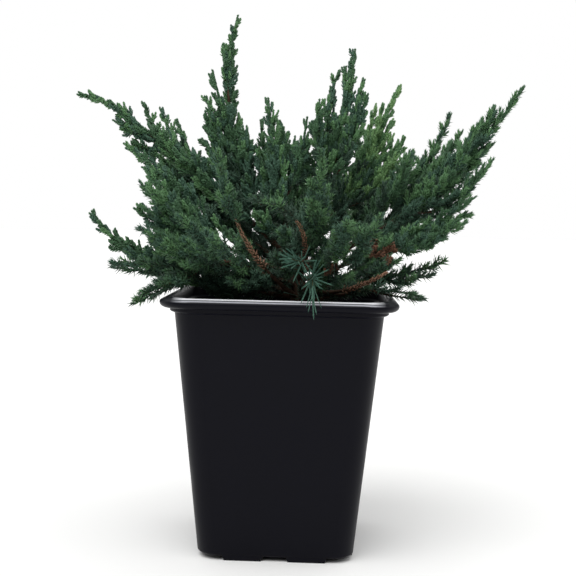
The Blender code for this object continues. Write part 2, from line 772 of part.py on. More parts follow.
def foliage(home):
    """Every mass in turn, tried again from another seed where its union comes out touching itself."""
    paths = {name: leader_paths(mass) for name, mass in MASSES.items()}
    taken = limbs_taken(paths)
    for index, (name, mass) in enumerate(MASSES.items()):
        for attempt in range(TRIES):
            seed = SEED + index + SEED_STEP * attempt
            solid, spans = mass_solid(name, mass, paths[name], taken, seed, home)
            if is_closed(solid.data):
                break
            bpy.data.objects.remove(solid, do_unlink=True)
        taken[name] += spans


def main():
    clear_scene()
    home = collection("chinese_juniper")
    pot(home)
    soil(home)
    trunk(home)
    for name, mass in MASSES.items():
        if mass.bare:
            bough("bough_" + name, mass, home)
    foliage(home)


main()
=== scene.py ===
# %% [markdown]
# # A young Chinese juniper in a square nursery pot
#
# The plant is a young spreading juniper, grown in the tall square pot that nurseries fill by machine. Its
# crown is a fan of upswept plumes. Each plume is a woody leader clad in short shoots, and each shoot in
# needles.
#
# This file dresses a plain model of that plant, cell by cell. The plain model gives the pot, the trunk, the
# boughs and the reach of every mass of foliage. Nothing here moves it: a piece is made where the model
# says.

# %% Load the plain model
import math
import random
from collections import namedtuple

import bmesh
import bpy
from mathutils import Matrix, Quaternion, Vector


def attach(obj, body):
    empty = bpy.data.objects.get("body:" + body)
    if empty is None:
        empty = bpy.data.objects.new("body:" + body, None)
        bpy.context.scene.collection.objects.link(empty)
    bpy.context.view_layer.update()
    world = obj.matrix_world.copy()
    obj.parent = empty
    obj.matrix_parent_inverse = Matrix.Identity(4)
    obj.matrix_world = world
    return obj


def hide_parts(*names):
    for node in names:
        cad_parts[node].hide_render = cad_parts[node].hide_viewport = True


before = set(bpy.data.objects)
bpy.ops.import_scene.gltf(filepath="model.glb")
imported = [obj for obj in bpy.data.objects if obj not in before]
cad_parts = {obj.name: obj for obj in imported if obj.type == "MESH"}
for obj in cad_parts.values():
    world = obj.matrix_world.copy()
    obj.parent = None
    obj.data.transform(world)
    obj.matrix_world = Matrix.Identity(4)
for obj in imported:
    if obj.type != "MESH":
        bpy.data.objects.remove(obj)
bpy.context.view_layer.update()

NODES = sorted(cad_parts)

# %% [markdown]
# ## The camera
#
# The photograph was taken a little above the rim with a long lens, and almost square on to the pot. A fit
# of the pot's corners by least squares gives the place, the dip, the small turn to the left and the
# horizon's tilt.

# %% Put the camera at the photograph's view
CAMERA_PLACE = Vector((0.0323, -0.8500, 0.2729))
CAMERA_TURN = math.radians(-1.884)
CAMERA_DIP = math.radians(4.175)
CAMERA_ROLL = math.radians(1.223)
LENS_MM = 64.39
SENSOR_MM = 36.0
UP = Vector((0, 0, 1))


def new_object(name, data):
    item = bpy.data.objects.new(name, data)
    bpy.context.scene.collection.objects.link(item)
    return item


def add_camera():
    ahead = Vector((
        math.sin(CAMERA_TURN) * math.cos(CAMERA_DIP),
        math.cos(CAMERA_TURN) * math.cos(CAMERA_DIP),
        -math.sin(CAMERA_DIP),
    ))
    level = ahead.cross(UP).normalized()
    upright = level.cross(ahead)
    right = level * math.cos(CAMERA_ROLL) + upright * math.sin(CAMERA_ROLL)
    up = upright * math.cos(CAMERA_ROLL) - level * math.sin(CAMERA_ROLL)
    camera = new_object("camera", bpy.data.cameras.new("camera"))
    camera.data.lens = LENS_MM
    camera.data.sensor_width = SENSOR_MM
    turned = Matrix((right, up, -ahead)).transposed().to_4x4()
    camera.matrix_world = Matrix.Translation(CAMERA_PLACE) @ turned
    bpy.context.scene.camera = camera
    return camera


camera = add_camera()
print("camera at", [round(v, 3) for v in camera.location])

# %% [markdown]
# ## Colours, nodes and materials
#
# Blender's sockets take linear light, while a colour picker gives sRGB, so every colour here is an sRGB hex
# value that one function turns to linear. One more function adds a node, sets it up and joins its inputs,
# because a tree built by hand is mostly those three steps over and over. A third starts a material, whose
# constants go on the shader's own sockets.

# %% Helpers for every node tree
def linear(code):
    """The linear red, green, blue and alpha of an sRGB hex colour."""
    shares = [int(code[i:i + 2], 16) / 255 for i in (1, 3, 5)]
    return (*[s / 12.92 if s <= 0.04045 else ((s + 0.055) / 1.055) ** 2.4 for s in shares], 1.0)


def add(tree, kind, settings=None, inputs=None):
    """A new node. settings are its properties. inputs, by name or number, are values, sockets to join, or
    nodes, which are joined by their first output.
    """
    node = tree.nodes.new(kind)
    for key, value in (settings or {}).items():
        setattr(node, key, value)
    for key, value in (inputs or {}).items():
        if isinstance(value, bpy.types.Node):
            value = value.outputs[0]
        if isinstance(value, bpy.types.NodeSocket):
            tree.links.new(value, node.inputs[key])
        else:
            node.inputs[key].default_value = value
    return node


def new_material(name, settings):
    """A material with these constants on its shader. Gives the material, its tree and the shader."""
    made = bpy.data.materials.new(name)
    made.use_nodes = True
    shader = made.node_tree.nodes["Principled BSDF"]
    for key, value in settings.items():
        shader.inputs[key].default_value = value
    return made, made.node_tree, shader


print("half grey in linear light", round(linear("#808080")[0], 4))

# %% [markdown]
# ## Floor and light
#
# The photograph is lit like a catalogue picture: a white sweep behind and above, a dim room in front, and
# no hard shadow. The dim side matters for black plastic, which shows mostly what it reflects. So the light
# that the world gives is brightest behind and above. A soft sun from above the camera's left shoulder
# lights the leaves, and a weaker one from the right fills their shadows.

# %% Set the stage
FLOOR_RADIUS = 12.0
FLOOR_PAINT = {"Base Color": linear("#efefee"), "Roughness": 0.9, "Specular IOR Level": 0.1}
BACKDROP = "#ffffff"
DIM_STRENGTH = 0.06
SWEEP_STRENGTH = 0.95
SWEEP_WAY = (0.0, 0.55, 0.85)
SWEEP_EDGE = (-0.35, 0.75)
SUNS = {
    "key_light": {"height": 58, "azimuth": 238, "strength": 1.7, "softness": 50},
    "side_light": {"height": 50, "azimuth": 330, "strength": 0.5, "softness": 60},
}


def mesh_from(form, name):
    """The mesh of a finished form."""
    mesh = bpy.data.meshes.new(name)
    form.to_mesh(mesh)
    form.free()
    return mesh


def add_floor():
    form = bmesh.new()
    bmesh.ops.create_circle(form, cap_ends=True, segments=96, radius=FLOOR_RADIUS)
    mesh = mesh_from(form, "floor")
    mesh.materials.append(new_material("matt_painted_floor", FLOOR_PAINT)[0])
    new_object("floor", mesh)


def add_world():
    world = bpy.data.worlds.new("studio")
    world.use_nodes = True
    tree = world.node_tree
    tree.nodes.clear()
    way = add(tree, "ShaderNodeTexCoord").outputs["Generated"]
    towards = add(tree, "ShaderNodeVectorMath", {"operation": "DOT_PRODUCT"}, {0: way, 1: SWEEP_WAY})
    strength = add(tree, "ShaderNodeMapRange", {"interpolation_type": "SMOOTHSTEP"}, {
        "Value": towards.outputs["Value"], "From Min": SWEEP_EDGE[0], "From Max": SWEEP_EDGE[1],
        "To Min": DIM_STRENGTH, "To Max": SWEEP_STRENGTH,
    })
    fill, seen = (
        add(tree, "ShaderNodeBackground", None, {"Color": linear(BACKDROP), "Strength": level})
        for level in (strength, 1.0)
    )
    path = add(tree, "ShaderNodeLightPath")
    mix = add(tree, "ShaderNodeMixShader", None, {0: path.outputs["Is Camera Ray"], 1: fill, 2: seen})
    add(tree, "ShaderNodeOutputWorld", None, {"Surface": mix})
    bpy.context.scene.world = world


def add_sun(name, height, azimuth, strength, softness):
    sun = new_object(name, bpy.data.lights.new(name, "SUN"))
    sun.data.energy = strength
    sun.data.angle = math.radians(softness)
    high, about = math.radians(height), math.radians(azimuth)
    towards = Vector((math.cos(high) * math.cos(about), math.cos(high) * math.sin(about), math.sin(high)))
    sun.rotation_euler = towards.to_track_quat("Z", "Y").to_euler()


add_floor()
add_world()
for name, facts in SUNS.items():
    add_sun(name, **facts)
bpy.context.scene.view_settings.view_transform = "Standard"
print("suns", list(SUNS))

# %% [markdown]
# ## Making a piece
#
# A finished piece keeps its object at the origin, with its place in its mesh, just as the plain model's
# solids do. It rides on the one body of this plant and stands in for plain solids.

# %% Helpers that finish a piece
BODY = "root"


def plain_mesh(item):
    """The object's mesh as its modifiers leave it."""
    bpy.context.view_layer.update()
    graph = bpy.context.evaluated_depsgraph_get()
    return bpy.data.meshes.new_from_object(item.evaluated_get(graph), depsgraph=graph)


def applied(item):
    """Turns the object's modifiers into its mesh."""
    mesh = plain_mesh(item)
    item.modifiers.clear()
    item.data = mesh
    return item


def remove(item):
    bpy.data.objects.remove(item, do_unlink=True)


def triangles(mesh):
    mesh.calc_loop_triangles()
    return len(mesh.loop_triangles)


def finish_piece(item, replaced):
    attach(item, BODY)
    if replaced:
        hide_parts(*replaced)
    print(item.name, triangles(item.data), "triangles")


print("every piece rides on", BODY)

# %% [markdown]
# ## Patterned surfaces
#
# Nothing on this plant has one flat colour. Each surface is tinted from a dark to a light colour by a soft
# noise, and the rough ones also get a bump from a noise. Only the colours and sizes differ, so one function
# makes them all. It reads Object coordinates, which keep a pattern in place, and takes each size in
# millimetres.

# %% One function for every patterned surface
MM = 0.001

Noise = namedtuple("Noise", "mm detail roughness", defaults=(0.5,))
Bump = namedtuple("Bump", "strength height_mm")


def patterned(name, settings, colours, noises, reach=None, bump=None, squash=None):
    """A material tinted by the first noise and raised by the last. Gives its shader and first noise too.

    reach is the stretch of the noise from the dark colour to the light one, where that isn't all of it.
    squash is the pattern's scale on each axis, where they differ.
    """
    made, tree, shader = new_material(name, settings)
    place = add(tree, "ShaderNodeTexCoord").outputs["Object"]
    if squash:
        place = add(tree, "ShaderNodeMapping", None, {"Vector": place, "Scale": squash})
    values = [
        add(tree, "ShaderNodeTexNoise", None, {
            "Vector": place, "Scale": 1 / (noise.mm * MM),
            "Detail": noise.detail, "Roughness": noise.roughness,
        })
        for noise in noises
    ]
    share = values[0]
    if reach:
        low, high = reach
        share = add(tree, "ShaderNodeMapRange", None, {"Value": share, "From Min": low, "From Max": high})
    tint = add(tree, "ShaderNodeMix", {"data_type": "RGBA"}, {
        "Factor": share, 6: linear(colours[0]), 7: linear(colours[1]),
    })
    tree.links.new(tint.outputs[2], shader.inputs["Base Color"])
    if bump:
        raised = add(tree, "ShaderNodeBump", None, {
            "Height": values[-1], "Strength": bump.strength, "Distance": bump.height_mm * MM,
        })
        tree.links.new(raised.outputs["Normal"], shader.inputs["Normal"])
    return made, shader, values[0]


print("a pattern has", Noise._fields, "and a bump", Bump._fields)

# %% [markdown]
# ## The pot's finish
#
# The pot is injection moulded from black polypropylene. The mould is lightly blasted, so the wall is satin
# and not glossy: reflections are soft and run the pot's whole height. Black pigment leaves a trace of blue.
# A fine grain is too small to see as dots, but it breaks up the highlight, so the bump here is drawn at 0.6
# mm. Wide, weak patches in the roughness are the cloudy look of handled polypropylene.

# %% Black moulded polypropylene
PLASTIC = {"IOR": 1.42, "Specular IOR Level": 0.13, "Metallic": 0.0}
CLOUDS = Noise(26.0, 3.0, 0.55)
MOULD_GRAIN = Noise(0.6, 1.0)
CLOUD_REACH = (0.3, 0.7)
CLOUD_ROUGHNESS = (0.34, 0.44)


def moulded_polypropylene():
    made, shader, cloud = patterned(
        "moulded_black_polypropylene", PLASTIC, ("#07070f", "#0b0b14"), (CLOUDS, MOULD_GRAIN),
        bump=Bump(0.12, 0.05),
    )
    tree = made.node_tree
    rough = add(tree, "ShaderNodeMapRange", None, {
        "Value": cloud, "From Min": CLOUD_REACH[0], "From Max": CLOUD_REACH[1],
        "To Min": CLOUD_ROUGHNESS[0], "To Max": CLOUD_ROUGHNESS[1],
    })
    tree.links.new(rough.outputs["Result"], shader.inputs["Roughness"])
    return made


POLYPROPYLENE = moulded_polypropylene()
print(POLYPROPYLENE.name)

# %% [markdown]
# ## The pot
#
# A nursery pot is one thin shell: a flat floor on short feet, a wall that widens upwards so that pots nest,
# a small step, and a flange that falls a little outwards and turns down in a lip. All of it is one outline
# carried round a square with round corners. So it is made as rings of points, from the floor to the lip,
# and Solidify gives it its wall.

# %% Sizes of the pot, in metres
POT_HEIGHT = 0.2075
RIM_WIDTH = 0.184
BODY_TOP_WIDTH = 0.1614
BODY_BASE_WIDTH = 0.1244
WALL = 0.0015
RIM_CORNER = 0.027
BODY_CORNER = 0.020
BASE_CORNER = 0.017
BASE_FILLET = 0.0022
CORNER_STEPS = 12
STEP_OUT = 0.0036
STEP_DROP = 0.0125
STEP_RISE = 0.0016
STEP_SOFT = 0.0010
FLANGE_ROOT = ((0.0, 0.0012), (0.0006, 0.0002), (0.0016, 0.0001))
FLANGE_FALL = 0.0020
LIP_DROP = 0.0068
LIP_ROUND = 0.0008
LIP_TUCK = 0.0036
FOOT_HEIGHT = 0.0034
ARC_STEPS = 4
print("pot", round(RIM_WIDTH / MM, 1), "mm wide,", round(POT_HEIGHT / MM, 1), "mm high")


# %% Rings round a square with round corners
def rounded_square(half, corner, height):
    """Points round the square, anticlockwise seen from above, with a few on each straight side."""
    flat = half - corner
    angles = [step / CORNER_STEPS * math.pi / 2 for step in range(CORNER_STEPS + 1)]
    side = [Vector((flat + corner * math.cos(a), flat + corner * math.sin(a), height)) for a in angles]
    side += [Vector((flat - step / 2 * flat, half, height)) for step in (1, 2, 3)]
    turns = [Matrix.Rotation(quarter * math.pi / 2, 3, "Z") for quarter in range(4)]
    return [turn @ point for turn in turns for point in side]


def ring_mesh(name, rings, close_start=False, close_end=False):
    """A mesh through rings of points that all have the same count."""
    form = bmesh.new()
    rows = [[form.verts.new(point) for point in ring] for ring in rings]
    for low, high in zip(rows, rows[1:]):
        for i, corner in enumerate(low):
            after = (i + 1) % len(low)
            form.faces.new((corner, low[after], high[after], high[i]))
    if close_start:
        form.faces.new(reversed(rows[0]))
    if close_end:
        form.faces.new(rows[-1])
    return mesh_from(form, name)


def quarter_arc(start, end, about):
    """Points of half-width and height on an arc of an ellipse, from start to end, both excluded."""
    angles = [step / ARC_STEPS * math.pi / 2 for step in range(1, ARC_STEPS)]
    return [
        tuple(c + (a - c) * math.cos(angle) + (b - c) * math.sin(angle) for a, b, c in zip(start, end, about))
        for angle in angles
    ]


print("points in a ring", len(rounded_square(RIM_WIDTH / 2, RIM_CORNER, POT_HEIGHT)))


# %% The shell, from the floor to the lip
def body_half_width(height):
    low, high = FOOT_HEIGHT + BASE_FILLET, POT_HEIGHT - STEP_DROP
    return (BODY_BASE_WIDTH + (BODY_TOP_WIDTH - BODY_BASE_WIDTH) * (height - low) / (high - low)) / 2


def pot_outline():
    """Half-width, corner radius and height of each ring on the shell's outer side."""
    base, knee = BODY_BASE_WIDTH / 2, FOOT_HEIGHT + BASE_FILLET
    sole = base - BASE_FILLET
    top = POT_HEIGHT - STEP_DROP
    step = body_half_width(top) + STEP_OUT
    rim, crest = RIM_WIDTH / 2 - WALL, POT_HEIGHT - WALL
    shoulder = (rim - LIP_ROUND, crest - FLANGE_FALL)
    widest = (rim, shoulder[1] - LIP_ROUND)
    lip = (rim - LIP_TUCK, POT_HEIGHT - LIP_DROP)
    heel = quarter_arc((sole, FOOT_HEIGHT), (base, knee), (sole, knee))
    nose = quarter_arc(shoulder, widest, (shoulder[0], widest[1]))
    tuck = quarter_arc(widest, lip, (lip[0], widest[1]))
    return [
        (sole, BASE_CORNER - BASE_FILLET / 2, FOOT_HEIGHT),
        *[(half, BASE_CORNER, height) for half, height in heel],
        (base, BASE_CORNER, knee),
        (body_half_width(top * 0.5), (BASE_CORNER + BODY_CORNER) / 2, top * 0.5),
        (body_half_width(top), BODY_CORNER, top),
        (step - STEP_SOFT, BODY_CORNER + STEP_OUT, top + STEP_RISE * 0.5),
        (step, BODY_CORNER + STEP_OUT, top + STEP_RISE),
        *[(step + out, BODY_CORNER + STEP_OUT, crest - below) for out, below in FLANGE_ROOT],
        (shoulder[0], RIM_CORNER - LIP_ROUND, shoulder[1]),
        *[(half, RIM_CORNER, height) for half, height in nose],
        (rim, RIM_CORNER, widest[1]),
        *[(half, RIM_CORNER + half - rim, height) for half, height in tuck],
        (lip[0], RIM_CORNER - LIP_TUCK, lip[1]),
    ]


def pot_shell():
    rings = [rounded_square(*ring) for ring in pot_outline()]
    shell = new_object("nursery_pot", ring_mesh("nursery_pot", rings, close_start=True))
    wall = shell.modifiers.new("Wall", "SOLIDIFY")
    wall.thickness = WALL
    wall.offset = -1.0
    wall.use_even_offset = True
    return applied(shell)


shell = pot_shell()
print("shell", triangles(shell.data), "triangles")

# %% [markdown]
# ## The pale line on the flange
#
# The top of the flange shows as a white line: a highlight on the one face that is turned up to the light.
# Clean black plastic would only mirror the dark leaves above it here, so the highlight is painted into the
# colour instead: the flange gets a copy of the plastic with two pale bands of painted highlight, in front and
# behind, since its two sides show dark. The pattern reads how far out a point lies, measured round the
# corners too, so that the bands follow the rim. At the corners the painted highlight fades out.

# %% Paint a highlight on the top of the flange
HIGHLIGHT_TILT = 0.5
HIGHLIGHT_DEPTH = 0.0060
# Stops of the painted highlight across the flange: two pale bands with a dark line between them.
FLANGE_BANDS_MM = (
    (83.2, "#0b0b13"), (83.7, "#dcdde1"), (87.8, "#dcdde1"), (88.1, "#2c2c34"), (88.8, "#2c2c34"),
    (89.2, "#a3a4ab"), (90.6, "#a3a4ab"), (91.2, "#0b0b13"),
)
# Where the painted highlight fades out towards the corners.
CORNER_FADE_MM = (71, 81)


def with_painted_highlight(made):
    """A copy of the plastic with pale bands of painted highlight along the rim."""
    pale = made.copy()
    pale.name = "rubbed_" + made.name
    tree = pale.node_tree
    straight = RIM_WIDTH / 2 - RIM_CORNER
    nearest, furthest = (FLANGE_BANDS_MM[i][0] * MM for i in (0, -1))
    place = add(tree, "ShaderNodeTexCoord").outputs["Object"]
    folded = add(tree, "ShaderNodeVectorMath", {"operation": "ABSOLUTE"}, {0: place})
    past = add(tree, "ShaderNodeVectorMath", {"operation": "SUBTRACT"}, {
        0: folded, 1: (straight, straight, 1),
    })
    corner = add(tree, "ShaderNodeVectorMath", {"operation": "MAXIMUM"}, {0: past, 1: (0, 0, 0)})
    out = add(tree, "ShaderNodeVectorMath", {"operation": "LENGTH"}, {0: corner})
    share = add(tree, "ShaderNodeMapRange", None, {
        "Value": out.outputs["Value"], "From Min": nearest - straight, "From Max": furthest - straight,
    })
    bands = add(tree, "ShaderNodeValToRGB", None, {"Fac": share})
    stops = bands.color_ramp.elements
    stops[0].color, stops[1].color = (linear(FLANGE_BANDS_MM[i][1]) for i in (0, -1))
    for place_mm, code in FLANGE_BANDS_MM[1:-1]:
        stops.new((place_mm * MM - nearest) / (furthest - nearest)).color = linear(code)
    axes = add(tree, "ShaderNodeSeparateXYZ", None, {0: folded})
    nearer = add(tree, "ShaderNodeMath", {"operation": "MINIMUM"}, {
        0: axes.outputs["X"], 1: axes.outputs["Y"],
    })
    turned = add(tree, "ShaderNodeMapRange", None, {
        "Value": nearer, "From Min": CORNER_FADE_MM[0] * MM, "From Max": CORNER_FADE_MM[1] * MM,
    })
    colour = add(tree, "ShaderNodeMix", {"data_type": "RGBA"}, {
        "Factor": turned, 6: bands, 7: linear(FLANGE_BANDS_MM[0][1]),
    })
    tree.links.new(colour.outputs[2], tree.nodes["Principled BSDF"].inputs["Base Color"])
    return pale


def paint_flange_highlight(mesh):
    """Gives the top of the flange the plastic with the painted highlight, in front and behind."""
    for face in mesh.polygons:
        upturned = face.normal.z > HIGHLIGHT_TILT and face.center.z > POT_HEIGHT - HIGHLIGHT_DEPTH
        if upturned and abs(face.center.y) > abs(face.center.x):
            face.material_index = 1


HIGHLIGHTED_POLYPROPYLENE = with_painted_highlight(POLYPROPYLENE)
print(HIGHLIGHTED_POLYPROPYLENE.name)

# %% [markdown]
# ## Feet and drain holes
#
# Short feet lift the floor so that water can leave by the holes. They are small blocks that narrow
# downwards, which lets the mould open, with rounded edges. Those along the sides have a thin toe that runs
# up into the wall, so that they stand flush with it. A Boolean fuses the feet to the floor, and another
# drills the holes.

# %% Shapes of the feet and holes
SIDE_FOOT = (0.0330, 0.012)
SIDE_FOOT_MIDDLE = 0.0250
FOOT_INSET = 0.0004
FOOT_DRAFT = 0.88
FOOT_SINK = 0.0007
FOOT_TOP = FOOT_HEIGHT + FOOT_SINK
FOOT_CORNER = 0.12
TOE_DEPTH = 0.0011
TOE_TOP = FOOT_HEIGHT + 0.85 * BASE_FILLET
CENTRE_FOOT = (0.030, 0.030)
CENTRE_SIDES = 40
DRAIN_RADIUS = 0.0055
DRAIN_OFFSET = 0.041


def narrowed_block(name, middle, size, sides=0, top=FOOT_TOP):
    """A foot: a block, or a disc where its sides are given, from the floor down to the ground."""
    form = bmesh.new()
    if sides:
        bmesh.ops.create_cone(form, cap_ends=True, segments=sides, radius1=0.5, radius2=0.5, depth=1.0)
    else:
        bmesh.ops.create_cube(form, size=1.0)
        upright = [edge for edge in form.edges if abs(edge.verts[0].co.z - edge.verts[1].co.z) > 0.5]
        bmesh.ops.bevel(form, geom=upright, offset=FOOT_CORNER, segments=3, affect="EDGES", profile=0.5)
    for vertex in form.verts:
        draft, height = (FOOT_DRAFT, 0.0) if vertex.co.z < 0 else (1.0, top)
        x, y = (middle[i] + vertex.co[i] * size[i] * draft for i in (0, 1))
        vertex.co = Vector((x, y, height))
    return new_object(name, mesh_from(form, name))


def drain_cutter(x, y):
    form = bmesh.new()
    bmesh.ops.create_cone(
        form, cap_ends=True, segments=28, radius1=DRAIN_RADIUS, radius2=DRAIN_RADIUS, depth=4 * FOOT_HEIGHT,
        matrix=Matrix.Translation((x, y, FOOT_HEIGHT)),
    )
    return new_object("drain", mesh_from(form, "drain"))


def pot_feet():
    feet = [narrowed_block("foot_centre", (0, 0), CENTRE_FOOT, CENTRE_SIDES)]
    face = BODY_BASE_WIDTH / 2 - FOOT_INSET
    for size, top in ((SIDE_FOOT, FOOT_TOP), ((SIDE_FOOT[0], TOE_DEPTH), TOE_TOP)):
        depth = face - size[1] / 2
        for sign in (-1, 1):
            for place in (-SIDE_FOOT_MIDDLE, SIDE_FOOT_MIDDLE):
                feet.append(narrowed_block("foot", (place, sign * depth), size, top=top))
                feet.append(narrowed_block("foot", (sign * depth, place), size[::-1], top=top))
    return feet


print("feet are", round(SIDE_FOOT[0] / MM, 1), "mm wide, holes", round(2 * DRAIN_RADIUS / MM, 1), "mm")

# %% Fuse the feet and drill the floor
SOFT_EDGE = 0.00025
SOFT_FROM = math.radians(40)
SMOOTH_UP_TO = math.radians(35)


def boolean(item, others, operation):
    """Joins or cuts the object with the others, which are then removed."""
    group = bpy.data.collections.new("operands")
    for other in others:
        bpy.context.scene.collection.objects.unlink(other)
        group.objects.link(other)
    bpy.context.scene.collection.children.link(group)
    step = item.modifiers.new("Boolean", "BOOLEAN")
    step.operation = operation
    step.operand_type = "COLLECTION"
    step.collection = group
    applied(item)
    for other in others:
        remove(other)
    bpy.data.collections.remove(group)


def make_pot(shell):
    corners = (-DRAIN_OFFSET, DRAIN_OFFSET)
    boolean(shell, pot_feet(), "UNION")
    boolean(shell, [drain_cutter(x, y) for x in corners for y in corners], "DIFFERENCE")
    soft = shell.modifiers.new("Soft edges", "BEVEL")
    soft.width = SOFT_EDGE
    soft.segments = 2
    soft.limit_method = "ANGLE"
    soft.angle_limit = SOFT_FROM
    mesh = applied(shell).data
    mesh.shade_smooth()
    mesh.set_sharp_from_angle(angle=SMOOTH_UP_TO)
    mesh.materials.clear()
    mesh.materials.append(POLYPROPYLENE)
    # The second material is the plastic with the painted highlight on the flange's top.
    mesh.materials.append(HIGHLIGHTED_POLYPROPYLENE)
    paint_flange_highlight(mesh)
    return shell


finish_piece(make_pot(shell), ["pot"])

# %% [markdown]
# ## Potting mix
#
# The root ball is composted bark with peat: nearly black where it is damp, with chips of bark from 3 to 8
# mm on the top. The surface is rough and scatters what light it gets, so it has almost no gloss. The block
# itself is a mesh of rings with a bumpy top.

# %% The root ball
SOIL_DROP = 0.020
SOIL_TOP = POT_HEIGHT - SOIL_DROP
SOIL_FLOOR = FOOT_HEIGHT + WALL + 0.0003
SOIL_BUMP = 0.0016
SOIL_INSET = WALL + 0.0005
SOIL_RINGS = [0.975, 0.93] + [(86 - 8 * step) / 100 for step in range(11)]
CRUMB = {"Roughness": 0.93, "Specular IOR Level": 0.25}
CLUMPS, CRUMB_GRAIN = Noise(9.0, 4.0), Noise(1.4, 2.0)


def potting_mix(name, *colours):
    noises = (CLUMPS, CRUMB_GRAIN)
    return patterned(name, CRUMB, colours, noises, reach=(0.35, 0.68), bump=Bump(0.7, 0.4))[0]


def make_soil():
    shoulder = SOIL_FLOOR + BASE_FILLET
    half = body_half_width(SOIL_TOP) - SOIL_INSET
    edge, corner = BASE_CORNER - SOIL_INSET, BODY_CORNER - SOIL_INSET
    rings = [
        rounded_square(body_half_width(SOIL_FLOOR) - SOIL_INSET - BASE_FILLET, edge, SOIL_FLOOR),
        rounded_square(body_half_width(shoulder) - SOIL_INSET, edge, shoulder),
        rounded_square(half, corner, SOIL_TOP - SOIL_BUMP),
    ]
    rng = random.Random(3)
    for share in SOIL_RINGS:
        ring = rounded_square(half * share, corner * share, SOIL_TOP)
        rings.append([point - Vector((0, 0, rng.uniform(0, SOIL_BUMP))) for point in ring])
    mesh = ring_mesh("potting_mix", rings, close_start=True, close_end=True)
    mesh.shade_smooth()
    mesh.materials.append(potting_mix("damp_composted_bark", "#1a120d", "#3b2a1f"))
    return new_object("potting_mix", mesh)


finish_piece(make_soil(), ["soil"])

# %% [markdown]
# ## Geometry Nodes from a script
#
# A tree is built once, with named inputs for its sizes. To run it, a carrier object gets the tree as a
# modifier, each input is set by its socket's identifier, and the result is read back as a plain mesh. The
# carrier is then removed.

# %% Build a tree and run it
def geometry_tree(name, sockets):
    """A tree with a geometry input and output, and one input for each named socket."""
    tree = bpy.data.node_groups.new(name, "GeometryNodeTree")
    tree.interface.new_socket("Geometry", in_out="OUTPUT", socket_type="NodeSocketGeometry")
    for label, kind in {"Geometry": "Geometry", **sockets}.items():
        tree.interface.new_socket(label, in_out="INPUT", socket_type="NodeSocket" + kind)
    return tree, add(tree, "NodeGroupInput").outputs


def end_tree(tree, geometry, material):
    """Realizes the instances, gives them their material, and sends them out."""
    real = add(tree, "GeometryNodeRealizeInstances", None, {"Geometry": geometry})
    clad = add(tree, "GeometryNodeSetMaterial", None, {"Geometry": real, "Material": material})
    smooth = add(tree, "GeometryNodeSetShadeSmooth", None, {"Geometry": clad})
    add(tree, "NodeGroupOutput", None, {0: smooth})
    return tree


def run_tree(name, tree, mesh, values):
    """A new object whose plain mesh is the tree's result on that mesh."""
    carrier = new_object(name + "_carrier", mesh)
    step = carrier.modifiers.new("Grow", "NODES")
    step.node_group = tree
    for socket in tree.interface.items_tree:
        if socket.in_out == "INPUT" and socket.name in values:
            step[socket.identifier] = values[socket.name]
    result = plain_mesh(carrier)
    result.name = name
    remove(carrier)
    return new_object(name, result)


print("trees so far", len(bpy.data.node_groups))

# %% [markdown]
# ## Chips of bark
#
# The chips lie as they fell, each with its own turn and size. Geometry Nodes scatters them, since there are
# many and they are all one shape. A chip is a ball of twenty faces that is squashed and dented, which reads
# as split bark at this size.

# %% Scatter chips over the mix
CHIP_DENTS = (0.72, 1.0)
CHIP_SHAPE = Vector((1.0, 0.62, 0.34))
CHIP_TILT = 0.5
CHIP_MARGIN = 0.004
CHIP_SINK = 0.0008
CHIPS = {"Per square metre": 95000.0, "Smallest": 3.0 * MM, "Largest": 8.0 * MM, "Seed": 11}


def chip_mesh():
    """A split chip of bark, one unit long, with uneven corners."""
    form = bmesh.new()
    bmesh.ops.create_icosphere(form, subdivisions=1, radius=0.5)
    rng = random.Random(5)
    for vertex in form.verts:
        vertex.co *= rng.uniform(*CHIP_DENTS)
        vertex.co *= CHIP_SHAPE
    return mesh_from(form, "chip")


def scatter_tree():
    tree, sockets = geometry_tree("scatter chips", {
        "Chip": "Object", "Per square metre": "Float", "Smallest": "Float", "Largest": "Float", "Seed": "Int",
        "Surface": "Material",
    })
    points = add(tree, "GeometryNodeDistributePointsOnFaces", {"distribute_method": "RANDOM"}, {
        "Mesh": sockets["Geometry"], "Density": sockets["Per square metre"], "Seed": sockets["Seed"],
    })
    turn = add(tree, "FunctionNodeRandomValue", {"data_type": "FLOAT_VECTOR"}, {
        0: (-CHIP_TILT, -CHIP_TILT, 0.0), 1: (CHIP_TILT, CHIP_TILT, math.tau), "Seed": sockets["Seed"],
    })
    size = add(tree, "FunctionNodeRandomValue", {"data_type": "FLOAT"}, {
        2: sockets["Smallest"], 3: sockets["Largest"], "Seed": sockets["Seed"],
    })
    chip = add(tree, "GeometryNodeObjectInfo", None, {"Object": sockets["Chip"]})
    placed = add(tree, "GeometryNodeInstanceOnPoints", None, {
        "Points": points, "Instance": chip.outputs["Geometry"],
        "Rotation": turn, "Scale": size.outputs[1],
    })
    return end_tree(tree, placed, sockets["Surface"])


def make_chips():
    half = body_half_width(SOIL_TOP) - SOIL_INSET - CHIP_MARGIN
    ring = rounded_square(half, BODY_CORNER - CHIP_MARGIN, SOIL_TOP - CHIP_SINK)
    chip = new_object("chip", chip_mesh())
    surface = potting_mix("weathered_bark_chip", "#33231a", "#6a4c38")
    ground = ring_mesh("chip_ground", [ring], close_end=True)
    chips = run_tree("bark_chips", scatter_tree(), ground, {"Chip": chip, "Surface": surface, **CHIPS})
    remove(chip)
    return chips


finish_piece(make_chips(), [])

# %% [markdown]
# ## The habit of the plant
#
# A juniper's habit is the way its limbs leave the stem. Each row below is one leader: which way it leans,
# how far out and how high its tip is, and where it bends. Each mass of foliage has one main leader, and
# side leaders that fork from it. The same rows shape the plain model, so that the fine foliage grows inside
# the same reach.

